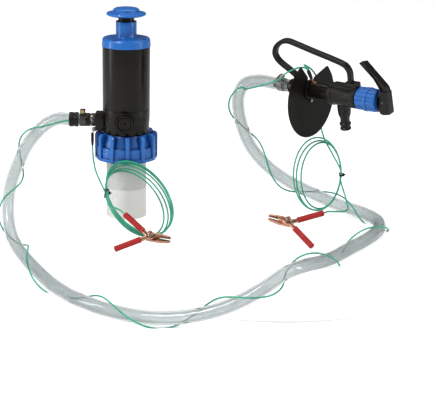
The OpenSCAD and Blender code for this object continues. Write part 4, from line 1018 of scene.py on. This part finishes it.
def build_outlet():
    """Outlet block, the hexagon tail in it, and the clamp and ribbed sleeve that hold the hose."""
    body = [block((-OUTLET_REACH / MM, -30), (-12, 12), (135.1, 162), 1.6, 1.4, 4),
            block((-40, -33.5), (-14.2, 14.2), (137.5, 159.5), 1, 1)]
    dressed(make_piece("outlet_block_moulded", body), "black", "root", "outlet_block")
    at = shift(-OUTLET_REACH, 0, OUTLET_Z) @ OUTLET_OUT
    barb = [(4.5, 0), (6.4, 0)]
    for i in range(6):
        barb += [(6.5, 8 + 5.2 * i), (6.5, 11.6 + 5.2 * i), (6.1, 12.2 + 5.2 * i)]
    barb += [(6.0, 40.4), (5.4, 41), (4.5, 41)]
    tail = [hex_part(9.1, 0.05, 7, 0.9, 4.6), turned(barb, 64)]
    dressed(make_piece("outlet_hose_tail", tail, at), "dark_steel_and_shade", "root", "outlet_tail")
    place = shift(-0.062, 0, OUTLET_Z) @ OUTLET_OUT
    dressed(make_piece("outlet_worm_clamp", worm_clamp_parts(), place, 30), "dark_steel_and_shade", "root",
            "outlet_clamp")
    tap_clamp = TAP_PLACE @ shift(-TAIL_END + 0.009, 0, 0) @ ALONG_X @ spin(200, "Z")
    dressed(make_piece("tap_worm_clamp", worm_clamp_parts(), tap_clamp, 30), "steel", "root", "tap_clamp")
    screws = [moved(p, at) for at in (place, tap_clamp) for p in worm_screw_parts()]
    dressed(make_piece("worm_screw_pair", screws), "brass", "root", "clamp_screws")
    ribs = rounded([(9.55, 0), (11.3, 0, 0.6), (11.3, 5.2, 0.8), (10.6, 5.6, 0.4), (10.6, 7.4, 0.4),
                    (11.3, 7.8, 0.8), (11.3, 13.9, 1), (9.55, 13.9, 0.4)], 0.4, 5)
    sleeve_at = shift(-0.073, 0, OUTLET_Z) @ OUTLET_OUT
    dressed(make_piece("outlet_hose_sleeve", [turned(ribs, 96)], sleeve_at), "satin", "root",
            "outlet_sleeve")
    cuff = rounded([(9.55, 0), (10.3, 0, 0.3), (10.3, 6.8, 0.3), (9.55, 6.8)], 0.1, 4)
    cuff_at = shift(-0.055, 0, OUTLET_Z) @ OUTLET_OUT
    dressed(make_piece("outlet_hose_cuff", [turned(cuff, 96)], cuff_at), "satin", "root")


def build_ground_lug():
    """Screw and ring tongue on the block's face, with a heat-shrink sleeve that narrows onto the wire."""
    at = shift(-OUTLET_REACH, -0.009, 0.137) @ OUTLET_OUT
    head = [moved(rod_part(3.4, -1, 3.4, 0.5, 40), at), moved(hex_part(2.3, 3.4, 5.2, 0.4), at)]
    tongue = block((-50.6, -49.4), (-10.6, -7.4), (128.8, 137), 0.3, 0.2)
    dressed(make_piece("ground_lug_screw", head + [tongue]), "steel", "root", "ground_lug")
    sleeve = rounded([(1.2, 0), (1.5, 0, 0.2), (2.0, 3.2, 1.5), (2.3, 8, 3), (2.3, 17, 1), (1.9, 20, 0.8),
                      (1e-4, 20)], 0.3, 5, False)
    low = shift(-0.0512, -0.009, 0.112)
    closed = np.vstack([(1e-4, 0), sleeve])
    dressed(make_piece("ground_lug_sleeve", [turned(closed, 40, False)], low), "satin", "root")


# ---------- Tap ----------

def axis_part(profile, n=96, closed=True, swell=None):
    """A turned part laid along the tap's own +X axis."""
    return moved(turned(profile, n, closed, swell), ALONG_X)


def build_tap_tube():
    """Inlet tube with a rolled shoulder at each end, and the hose tail with its barbs."""
    tube_out = [(4.6, -98), (10.6, -98, 0.8), (11.6, -96.8, 0.8), (11.6, -70, 0.2), (11.5, -69.6, 0.1),
                (11.5, -60, 0.1), (11.6, -59.6, 0.1), (11.6, -17.2, 0.4), (4.6, -17.2)]
    barb = [(4.6, -128), (5.8, -128), (6.1, -127)]
    for i in range(5):
        barb += [(6.5, -122 + 5.2 * i), (6.1, -121.4 + 5.2 * i)]
    barb += [(6.2, -97.9), (4.6, -97.9)]
    parts = [axis_part(rounded(tube_out, 0.4, 4)), axis_part(barb, 64)]
    dressed(make_piece("tap_inlet_tube", parts, TAP_PLACE), "black", "root", "tap_tube")


def guard_part():
    """Dished plate ruled between its hole and its rim, with a V notch turned 21 degrees and a rounded rim.

    The rim goes from one side of the notch round the circle to the other, the hole keeps pace with it,
    and the plate's x grows with the square of the distance from the disc's middle."""
    low, r, hole, turn = 13.1, 59.7, 11.64, math.radians(21)
    middle = np.array([14 * math.sin(turn), -14 * math.cos(turn)])
    foot = math.atan2(low - 3, 7.5)
    sweep = np.radians(np.linspace(56.2, -230.9, 150))
    rim = [tuple(middle + r * np.array([math.cos(a), math.sin(a)])) for a in sweep]
    line = [(9, low + 5)] + [(*rim[0], 3.4)] + rim[9:-9] + [(*rim[-1], 3.4)] + [(-9, low + 5)]
    outer = even_path(rounded(line, 1.6, 4, False) @ np.eye(2, 3), 0.9)
    inner_a = np.linspace(foot, math.pi - foot - 2 * math.pi, len(outer))
    inner = np.column_stack([hole * np.cos(inner_a), hole * np.sin(inner_a)])
    ease = np.linspace(0, 1, 15) ** 0.9
    section = np.array([(t, -0.8) for t in ease] + [(1.008, -0.45), (1.012, 0.0), (1.008, 0.45)]
                       + [(t, 0.8) for t in ease[::-1]])
    share = np.clip(section[:, 0], 0, 1.012)[None, :, None]
    flat = (1 - share) * inner[:, None, :] + share * outer[:, None, :2]
    radius = np.hypot(flat[..., 0] - middle[0], flat[..., 1] - middle[1])
    x = -65.3 + 2.6 * (radius / r) ** 2 + section[None, :, 1]
    y = flat[..., 0] * math.cos(turn) + flat[..., 1] * math.sin(turn)
    z = flat[..., 1] * math.cos(turn) - flat[..., 0] * math.sin(turn)
    pts = scaled(np.stack([x, y, z], -1))
    return pts, tube_faces(*pts.shape[:2])


def build_guard():
    """Splash guard, its clamping ring on the tube and two screws."""
    ring = axis_part(rounded([(11.62, -64.2), (15.5, -64.2, 0.8), (15.5, -61.4, 0.8), (13, -60.6, 0.6),
                              (11.62, -60.4, 0.3)], 0.4, 4))
    dressed(make_piece("splash_guard_plate", [guard_part(), ring], TAP_PLACE, 30), "matt", "root",
            "splash_guard")
    screw = [rod_part(1.45, -2, 5.2, 0.2, 24), hex_part(2.4, 2.8, 5.4, 0.4), rod_part(2.6, -2, 0.4, 0.5, 24)]
    screws = []
    for a in (175, 270):
        at = TAP_PLACE @ shift(-GUARD_AT, 0, 0) @ spin(a, "X") @ shift(0, 0, 0.0176) @ ALONG_X
        screws += [moved(p, at) for p in screw]
    dressed(make_piece("guard_screw_pair", screws), "steel", "root", "guard_screws")


def build_tap_lug():
    """Terminal on the tube: its ring and screw, and a black sleeve that leans towards the guard."""
    at = TAP_PLACE @ shift(-0.053, 0, 0) @ spin(8, "X")
    lean = at @ shift(-0.002, 0, 0.0124) @ spin(-15, "Y")
    parts = [moved(ring_part(3.6, 1.2, 11.62, 12.7, 0.25, 32), at),
             moved(hex_part(2.5, 12.7, 14.4, 0.4), at), moved(rod_part(1.3, 0, 9, 0.2, 24), lean)]
    dressed(make_piece("tap_lug_terminal", parts), "lug", "root", "tap_lug")
    side = rounded([(1.6, 6.4, 0.3), (2.5, 8.6, 1), (2.75, 13, 1), (2.7, 20, 0.8), (2.2, 21, 0.5),
                    (1e-4, 21)], 0.3, 4, False)
    sleeve = np.vstack([(1e-4, 6.4), side])
    dressed(make_piece("tap_lug_sleeve", [moved(turned(sleeve, 40, False), lean)]), "satin", "root")


def build_valve():
    """Valve body: end collars, a saddle block for the hand loop and the boss that the spout screws into."""
    out = rounded([(11.62, -25), (16.4, -25, 1), (17, -23.6, 0.8), (17, -17, 0.6), (16.2, -16, 0.6),
                   (16.2, 13, 0.6), (17, 14, 0.6), (17, 23.6, 0.8), (16.4, 25, 0.8), (13, 25.1, 0.3),
                   (13, 35.8, 0.4), (10.1, 35.8), (10.1, -12), (11.62, -17.5)], 0.4, 4)
    boss = moved(ring_part(10, 7.1, -21.9, -6, 0.8, 64), shift(-0.004, 0, 0))
    turn = spin(90, "X")
    side = rounded([(-14, 6), (-14, 15.6), (2, 18.2), (4, 22.9), (24.8, 22.9), (24.8, 6)], 1.6, 5)
    saddle = moved(slab(side, -7, 7, 1.2, 4), turn)
    rib = rounded([(-20, 4), (-20, 16.8), (22, 16.8), (22, 4)], 0.8, 3)
    rib = moved(slab(rib, -8.6, 8.6, 0.9), turn)
    parts = [axis_part(out), boss, saddle, rib]
    dressed(make_piece("valve_body_moulded", parts, TAP_PLACE, 38), "satin", "root", "valve_body")
    spout = rounded([(5, -17.5), (6.9, -17.5), (6.9, -22, 0.1), (10, -22, 0.8), (9.7, -27, 1),
                     (9.2, -31, 2), (7.1, -37, 4), (7, -43, 0.8), (8.6, -44.4, 0.6), (8.6, -47.4, 0.6),
                     (7.2, -48.6, 0.6), (7.2, -51.2, 0.6), (8.2, -52.2, 0.6), (8.2, -55, 0.7),
                     (5.5, -55, 0.3), (5.5, -25), (5, -25)], 0.4, 5)
    at = TAP_PLACE @ shift(-0.004, 0, 0)
    dressed(make_piece("tap_spout", [turned(spout, 72)], at), "satin", "root", "spout")


LOOP_POINTS = [(-72, 15), (-82, 17.5), (-93, 24.5), (-103, 30.5), (-112, 36), (-118.5, 42), (-122, 50),
               (-119, 60), (-111, 68), (-103, 72), (-95, 73), (-84, 71), (-50, 62.5), (-20, 55.5), (0, 50),
               (7, 46), (11, 40), (12, 35), (12, 29), (12, 23)]


def build_hand_loop(sizes):
    """Flat bar bent into the hand loop, with a foot and a screw, its section ridged along the grip."""
    line = np.array([(x, 0, z) for x, z in LOOP_POINTS], float)
    path = even_path(smooth_path(line, 16), 0.55) * MM
    section = shaped([(-4.5, -3.5), (4.5, -3.5), (4.5, 3.5), (-4.5, 3.5)], 1.7, 4)
    s = np.linspace(0, 1, len(path))
    grip = np.clip((s - 0.44) / 0.02, 0, 1) * np.clip((0.86 - s) / 0.02, 0, 1)
    ridge = 0.5 + 0.5 * np.sin(s * 2 * math.pi * sizes.loop_ridges / 0.42)
    thick = 1 - 0.085 * grip * (1 - ridge)
    wide = 1 - 0.035 * grip * (1 - ridge)
    ring = section[None] * np.stack([wide, thick], 1)[:, None, :]
    foot = slab(rounded([(-88, 11), (-87, 15.5), (-73, 15.5), (-71, 11)], 0.8, 4), -4.6, 4.6, 0.7)
    parts = [tube(path, section=ring), moved(foot, spin(90, "X"))]
    at = TAP_PLACE @ shift(-0.079, 0, 0.006)
    bar = make_piece("hand_loop_bar", parts, TAP_PLACE, 50)
    dressed(bored(bar, [moved(rod_part(3.5, 12.6, 24, 0.1, 32), at)], 50), "satin", "root", "hand_loop")
    screw = [moved(rod_part(1.5, 0, 13.4, 0.1, 24), at), moved(rod_part(3.2, 12.6, 14.6, 0.8, 32), at)]
    dressed(make_piece("loop_screw_set", screw), "steel", "root", "loop_screws")


def build_bonnet(sizes):
    """Bonnet nut: r swells into flat ribs at even angles, under a plain middle band and chamfered ends."""
    n = sizes.bonnet_ribs

    def ribs(a, r, z):
        local = np.abs((a * n / (2 * math.pi) + 0.5) % 1 - 0.5) * 2 * math.pi / n * 16.4
        rise = np.clip((3.6 - local) / 1.1, 0, 1)
        rise = rise * rise * (3 - 2 * rise)
        level = np.clip((z - 26) / 1.2, 0, 1) * np.clip((58.4 - z) / 1.2, 0, 1)
        return np.where(r > 15.2, 1.55 * rise * level, 0)

    levels = [26.2, 26.8, 27.4] + list(np.arange(28.2, 38.4, 1.4)) + [38.8, 39.2]
    up = [(15.9, z) for z in levels] + [(16.9, 39.6), (16.9, 44.4)] + [(15.9, 44.8)]
    up += [(15.9, z) for z in list(np.arange(45.6, 56.6, 1.4)) + [57.2, 57.8]]
    top = [(15.4, 58.6), (14.2, 59), (7.05, 59), (7.05, 36), (13.05, 36)]
    out = [(13.05, 25.1), (15, 25.1), (15.7, 25.6)] + up + top
    nut = make_piece("bonnet_nut_ribbed", [axis_part(out, 288, True, ribs)], TAP_PLACE, 40)
    dressed(nut, "blue", "root", "bonnet_nut")


def build_lever():
    """Lever: a forked foot slotted for the stem, and a slimmer bent arm, both with rounded rims."""
    foot = rounded([(-6.7, -11, 1.6), (-3, -17.5, 1), (2, -18.5, 1), (12.6, -16.5, 0.9), (10.5, 18, 1.6),
                    (-0.5, 18, 1.6)], 1.6, 6)
    arm = rounded([(-0.5, 14, 1), (10.8, 14, 1), (9.4, 22.5, 3), (7.6, 25.7, 3), (-26.2, 59.2, 0.6),
                   (-35.5, 56.8, 0.8), (2.6, 20.8, 2)], 1.6, 6)
    at = TAP_PLACE @ shift(PIVOT_AT, 0, 0) @ spin(90, "X")
    piece = make_piece("tap_lever_foot", [slab(foot, -7, 7, 0.8, 4)], at, 32)
    slot = block((-9, 7), (-12, 10), (-4.35, 4.35), 1.2, 0.3)
    hole = rod_part(2.56, -12, 12, 0.1, 48)
    sink = [rod_part(4.2, 6.3, 8, 0.2, 48), rod_part(4.2, -8, -6.3, 0.2, 48)]
    bored(piece, [moved(p, at) for p in [slot, hole] + sink], 32)
    dressed(piece, "satin", "tap_lever", "tap_lever")
    piece = make_piece("tap_lever_arm", [slab(arm, -5, 5, 0.7, 4)], at, 32)
    dressed(piece, "satin", "tap_lever")
    # The pin takes the darkened steel finish as painted shade for the dark slot it sits in.
    pin = [moved(rod_part(2.48, -6, 6, 0.5, 40), at)]
    dressed(make_piece("lever_pin_turned", pin), "dark_steel_and_shade", "tap_stem", "lever_pin")


def coil_spring(radius, wire, z0, z1, turns):
    """Helix r (cos a, sin a) of round wire, with z rising evenly but for a flat turn at each end."""
    a = np.linspace(0, 2 * math.pi * turns, int(turns * 20) + 1)
    rise = np.clip((a / (2 * math.pi) - 0.8) / (turns - 1.6), 0, 1)
    z = z0 + wire + (z1 - z0 - 2 * wire) * rise
    path = np.column_stack([radius * np.cos(a), radius * np.sin(a), z])
    return tube(scaled(path), wire * MM, 8)


def build_springs():
    """Round-wire springs in place of the plain sleeves behind the poppet and on the stem."""
    at = shift(0, -0.020, RELIEF_Z) @ spin(90, "X")
    spring = make_piece("relief_spring_wound", [moved(coil_spring(4.0, 0.5, 3.06, 18.9, 8), at)])
    dressed(spring, "steel", "relief_poppet", "relief_spring")
    at = TAP_PLACE @ ALONG_X
    spring = make_piece("stem_spring_wound", [moved(coil_spring(5.9, 0.6, -4.8, 45.6, 14), at)])
    dressed(spring, "steel", "tap_stem", "stem_spring")


# ---------- Clips ----------

def clip_half_parts(side):
    """Half of a clip: a toothed jaw with its pivot cheek, a handle, and an edge folded up by the jaw."""
    jaw = [(-6, -5, 1.5), (2, -6, 1.5), (12, -5.5, 2), (28, -3.2, 1), (30, -2.2, 0.6), (30, -0.2, 0.3),
           (27, -1.2, 0.3), (25, -0.2, 0.3), (22, -1.4, 0.3), (20, -0.2, 0.3), (17, -1.6, 0.3),
           (15, -0.2, 0.3), (8, 1.5, 2), (2, 6, 1.5), (-6, 5, 1.5)]
    plate = slab(rounded(jaw, 0.5, 3), 0, 4, 0.55)
    bar = slab(rounded([(3, -2.9), (50, -2.9), (50, 2.9), (3, 2.9)], 0.8, 3), 0, 4, 0.6)
    turn = spin(180 - HANDLE_TURN, "Z")
    edge = rounded([(8, -5.35), (12, -5.55), (27.5, -3.5), (27.5, -2.5), (12, -4.3), (8, -4.2)], 0.2, 2)
    flange = slab(edge, -0.9, 4.3, 0.25)
    parts = [plate, moved(bar, turn), flange]
    flip = Matrix.Diagonal((1, side, 1, 1))
    return [moved(p, flip) for p in parts]


def sleeve_part(rings):
    """Handle sleeve: r = 4.55 less a groove between each of its rings, closed in a dome at the outer end."""
    z = np.linspace(15, 55, 140)
    wave = np.cos((z - 17) / (53 - 17) * 2 * math.pi * rings)
    inside = (z > 17) & (z < 53)
    r = 4.55 - np.where(inside, 0.55 * (0.5 - 0.5 * wave) ** 2, 0)
    profile = [(1e-4, 15.0), (3.4, 15.0), (4.2, 15.3)] + list(zip(r, z))[2:-3]
    profile += [(4.4, 54.6), (3.9, 55.5), (2.6, 56.0), (1e-4, 56.0)]
    return moved(turned(profile, 40, False), ALONG_X)


def build_clip(sizes, clip):
    """One spring clip: two copper halves, two ribbed sleeves, a rivet and its coil spring.

    A solid that holds parts of both clips is replaced with the first clip's piece."""
    place, side = CLIP_PLACES[clip], CLIP_SIDES[clip]

    def shared(name):
        return [name] if clip == "clip_1" else []

    jaw = clip + "_jaw"
    for name, way, z, body, solid in (("_fixed_half", side, -0.00415, "root", clip + "_frame"),
                                      ("_moving_half", -side, 0.00015, jaw, jaw)):
        parts = [moved(p, shift(0, 0, z)) for p in clip_half_parts(way)]
        dressed(make_piece(clip + name, parts, place, 40), "copper", body, solid)
    for name, way, z, body, solids in (("_fixed_sleeve", side, WIRE_LEVEL, "root", shared("fixed_grips")),
                                       ("_moving_sleeve", -side, -WIRE_LEVEL, jaw, [clip + "_grip"])):
        at = place @ shift(0, 0, z * MM) @ spin((180 - HANDLE_TURN) * way, "Z")
        sleeve = make_piece(clip + name, [sleeve_part(sizes.grip_rings)], at, 60)
        dressed(sleeve, "red", body, *solids)
    rivet = [rod_part(2, -6, 11, 0.3, 40), rod_part(3.4, -6.2, -4.2, 0.8, 40),
             rod_part(3.4, 10.2, 11.6, 0.6, 40)]
    dressed(make_piece(clip + "_rivet", rivet, place), "copper", "root", *shared("clip_pins"))
    spring = coil_spring(3.1, 0.6, 4.4, 10.1, 4)
    dressed(make_piece(clip + "_spring", [spring], place), "steel", "root", *shared("clip_springs"))


def build_ties():
    """Flat nylon ties round the side-by-side wires, each with a locking head and a cut tail."""
    wire = 1.25
    for lead, c in COILS.items():
        up, out = coil_axes(lead)[1:]
        out = out * math.copysign(1, c["step"])
        axes = np.array([unit(np.cross(up, out)), out, up])
        place = Matrix([[*row, 0] for row in axes.T] + [[0, 0, 0, 1]])
        place.translation = Vector(scaled(c["at"]))
        width = abs(c["step"]) * c["loops"]
        mid, reach = width / 2, width / 2 + wire
        x = wire + 0.6
        loop = shaped([(-x - 0.9, mid - reach - 0.9), (x + 0.9, mid - reach - 0.9),
                       (x + 0.9, mid + reach + 0.9), (-x - 0.9, mid + reach + 0.9)], 1.8, 6)
        path = np.column_stack([loop, np.zeros(len(loop))])
        section = shaped([(-1.25, -0.4), (1.25, -0.4), (1.25, 0.4), (-1.25, 0.4)], 0.25, 2)
        head = block((x + 0.1, x + 3.3), (mid - 2.2, mid + 2.2), (-2.1, 2.1), 0.5, 0.4)
        tail = block((x + 3.0, x + 5.4), (mid - 0.4, mid + 0.4), (-1.2, 1.2), 0.2, 0.2)
        tie = make_piece(lead + "_tie", [band_round(path, section), head, tail], place)
        dressed(tie, "satin", "root", *(["lead_ties"] if lead == "lead_1" else []))


def band_round(path, section):
    """Strap: a section with its width along +Z and its thickness across a flat closed path."""
    t = unit(np.roll(path, -1, 0) - np.roll(path, 1, 0))
    side = np.column_stack([-t[:, 1], t[:, 0], np.zeros(len(t))])
    wide, thick = section[None, :, :1], section[None, :, 1:]
    pts = path[:, None, :] + thick * side[:, None, :] + wide * np.array([0, 0, 1.0])
    return pts, grid_faces(len(path), len(section), True, True)


INNER_FINISHES = {
    "air_cylinder": "ivory", "cylinder_ring": "rubber", "guide_bush": "ivory", "piston": "ivory",
    "piston_seal": "rubber", "piston_bolt": "steel", "check_valve": "rubber", "relief_poppet": "brass",
    # The stem bush and the valve stem take dark finishes as painted shade for the dark gap round the stem.
    "valve_seat": "rubber", "stem_bush": "rubber", "valve_stem": "dark_steel_and_shade",
}


def finish_inner():
    """Give each solid that stays as it is its own finish."""
    for name, kind in INNER_FINISHES.items():
        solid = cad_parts[name]
        for slot in solid.material_slots:
            slot.material = finish_of(kind)


# ---------- Operators, panel and run ----------

class DRUMPUMP_OT_camera(bpy.types.Operator):
    """Camera at the photograph's viewing angle"""
    bl_idname = "drum_pump.camera"
    bl_label = "Camera"

    def execute(self, context):
        build_camera()
        return {"FINISHED"}


class DRUMPUMP_OT_clips(bpy.types.Operator):
    """Two spring clips with copper jaws and ribbed red sleeves"""
    bl_idname = "drum_pump.clips"
    bl_label = "Clips"

    def execute(self, context):
        sizes = context.scene.drum_pump_sizes
        for clip in CLIP_PLACES:
            build_clip(sizes, clip)
        return {"FINISHED"}


class DRUMPUMP_OT_ties(bpy.types.Operator):
    """Nylon ties round the two coils"""
    bl_idname = "drum_pump.ties"
    bl_label = "Wire ties"

    def execute(self, context):
        build_ties()
        return {"FINISHED"}


class DRUMPUMP_OT_cords(bpy.types.Operator):
    """Clear hose, the wire wound round it and the two coiled leads"""
    bl_idname = "drum_pump.cords"
    bl_label = "Hose and leads"

    def execute(self, context):
        sizes = context.scene.drum_pump_sizes
        build_cords(sizes)
        for lead in COILS:
            build_lead(sizes, lead)
        return {"FINISHED"}


class DRUMPUMP_OT_adapter(bpy.types.Operator):
    """Milky adapter pipe with its drum thread and collar ring"""
    bl_idname = "drum_pump.adapter"
    bl_label = "Adapter pipe"

    def execute(self, context):
        build_adapter()
        return {"FINISHED"}


class DRUMPUMP_OT_union_nut(bpy.types.Operator):
    """Ribbed blue nut that pulls the pump onto its adapter"""
    bl_idname = "drum_pump.union_nut"
    bl_label = "Union nut"

    def execute(self, context):
        build_union_nut(context.scene.drum_pump_sizes)
        return {"FINISHED"}


class DRUMPUMP_OT_body(bpy.types.Operator):
    """Glossy black base and barrel, and the round plug in front"""
    bl_idname = "drum_pump.body"
    bl_label = "Base and barrel"

    def execute(self, context):
        build_body()
        build_relief_cap()
        return {"FINISHED"}


class DRUMPUMP_OT_top_cap(bpy.types.Operator):
    """Blue cap with its guide tower and four sunk screws"""
    bl_idname = "drum_pump.top_cap"
    bl_label = "Top cap"

    def execute(self, context):
        build_top_cap()
        return {"FINISHED"}


class DRUMPUMP_OT_knob(bpy.types.Operator):
    """Blue push knob on its black plunger tube"""
    bl_idname = "drum_pump.knob"
    bl_label = "Knob and plunger"

    def execute(self, context):
        build_knob()
        return {"FINISHED"}


class DRUMPUMP_OT_outlet(bpy.types.Operator):
    """Outlet block, hose tail, worm clamps, hose sleeve and ground lug"""
    bl_idname = "drum_pump.outlet"
    bl_label = "Outlet"

    def execute(self, context):
        build_outlet()
        build_ground_lug()
        return {"FINISHED"}


class DRUMPUMP_OT_tap_tube(bpy.types.Operator):
    """Tap's inlet tube and the lug on it"""
    bl_idname = "drum_pump.tap_tube"
    bl_label = "Tap inlet"

    def execute(self, context):
        build_tap_tube()
        build_tap_lug()
        return {"FINISHED"}


class DRUMPUMP_OT_guard(bpy.types.Operator):
    """Notched black splash guard with its screws"""
    bl_idname = "drum_pump.guard"
    bl_label = "Splash guard"

    def execute(self, context):
        build_guard()
        return {"FINISHED"}


class DRUMPUMP_OT_valve(bpy.types.Operator):
    """Valve body with its saddle, and the spout under it"""
    bl_idname = "drum_pump.valve"
    bl_label = "Valve and spout"

    def execute(self, context):
        build_valve()
        return {"FINISHED"}


class DRUMPUMP_OT_hand_loop(bpy.types.Operator):
    """Flat bar bent into a hand loop with grip ridges"""
    bl_idname = "drum_pump.hand_loop"
    bl_label = "Hand loop"

    def execute(self, context):
        build_hand_loop(context.scene.drum_pump_sizes)
        return {"FINISHED"}


class DRUMPUMP_OT_bonnet(bpy.types.Operator):
    """Ribbed blue nut round the tap's stem"""
    bl_idname = "drum_pump.bonnet"
    bl_label = "Bonnet nut"

    def execute(self, context):
        build_bonnet(context.scene.drum_pump_sizes)
        return {"FINISHED"}


class DRUMPUMP_OT_lever(bpy.types.Operator):
    """Tap lever with its bent arm and pin"""
    bl_idname = "drum_pump.lever"
    bl_label = "Lever"

    def execute(self, context):
        build_lever()
        return {"FINISHED"}


class DRUMPUMP_OT_springs(bpy.types.Operator):
    """Wound springs of the relief valve and the stem"""
    bl_idname = "drum_pump.springs"
    bl_label = "Springs"

    def execute(self, context):
        build_springs()
        return {"FINISHED"}


class DRUMPUMP_OT_inner(bpy.types.Operator):
    """Finishes of the solids that stay as they are"""
    bl_idname = "drum_pump.inner"
    bl_label = "Inner parts"

    def execute(self, context):
        finish_inner()
        return {"FINISHED"}


class DRUMPUMP_OT_stage(bpy.types.Operator):
    """Pale floor, plinth and soft studio light"""
    bl_idname = "drum_pump.stage"
    bl_label = "Stage"

    def execute(self, context):
        build_stage()
        return {"FINISHED"}


OPERATORS = (
    DRUMPUMP_OT_camera, DRUMPUMP_OT_clips, DRUMPUMP_OT_ties,
    DRUMPUMP_OT_cords, DRUMPUMP_OT_adapter, DRUMPUMP_OT_union_nut,
    DRUMPUMP_OT_body, DRUMPUMP_OT_top_cap, DRUMPUMP_OT_knob,
    DRUMPUMP_OT_outlet, DRUMPUMP_OT_tap_tube, DRUMPUMP_OT_guard,
    DRUMPUMP_OT_valve, DRUMPUMP_OT_hand_loop, DRUMPUMP_OT_bonnet,
    DRUMPUMP_OT_lever, DRUMPUMP_OT_springs, DRUMPUMP_OT_inner,
    DRUMPUMP_OT_stage,
)


class DRUMPUMP_PT_panel(bpy.types.Panel):
    """Settings and build steps of the drum pump"""
    bl_idname = "DRUMPUMP_PT_panel"
    bl_label = "Hand drum pump"
    bl_space_type = "VIEW_3D"
    bl_region_type = "UI"
    bl_category = "Drum pump"

    def draw(self, context):
        for group in (context.scene.drum_pump_sizes, context.scene.drum_pump_finish):
            column = self.layout.column(align=True)
            for key in group.__annotations__:
                column.prop(group, key)
        column = self.layout.column(align=True)
        for operator in OPERATORS:
            column.operator(operator.bl_idname)


CLASSES = (FinishSettings, SizeSettings, *OPERATORS, DRUMPUMP_PT_panel)


def register():
    """Register the classes and hang the settings on the scene."""
    for item in CLASSES:
        bpy.utils.register_class(item)
    bpy.types.Scene.drum_pump_finish = PointerProperty(type=FinishSettings)
    bpy.types.Scene.drum_pump_sizes = PointerProperty(type=SizeSettings)


def unregister():
    """Take the settings off the scene and the classes away."""
    del bpy.types.Scene.drum_pump_sizes
    del bpy.types.Scene.drum_pump_finish
    for item in reversed(CLASSES):
        bpy.utils.unregister_class(item)


def main():
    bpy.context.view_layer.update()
    register()
    for group in (wear_group, grain_group, dust_group, scratch_group):
        group()
    bpy.context.scene.view_settings.view_transform = "Standard"
    for operator in OPERATORS:
        getattr(bpy.ops.drum_pump, operator.bl_idname.split(".")[1])()


if __name__ == "__main__":
    main()
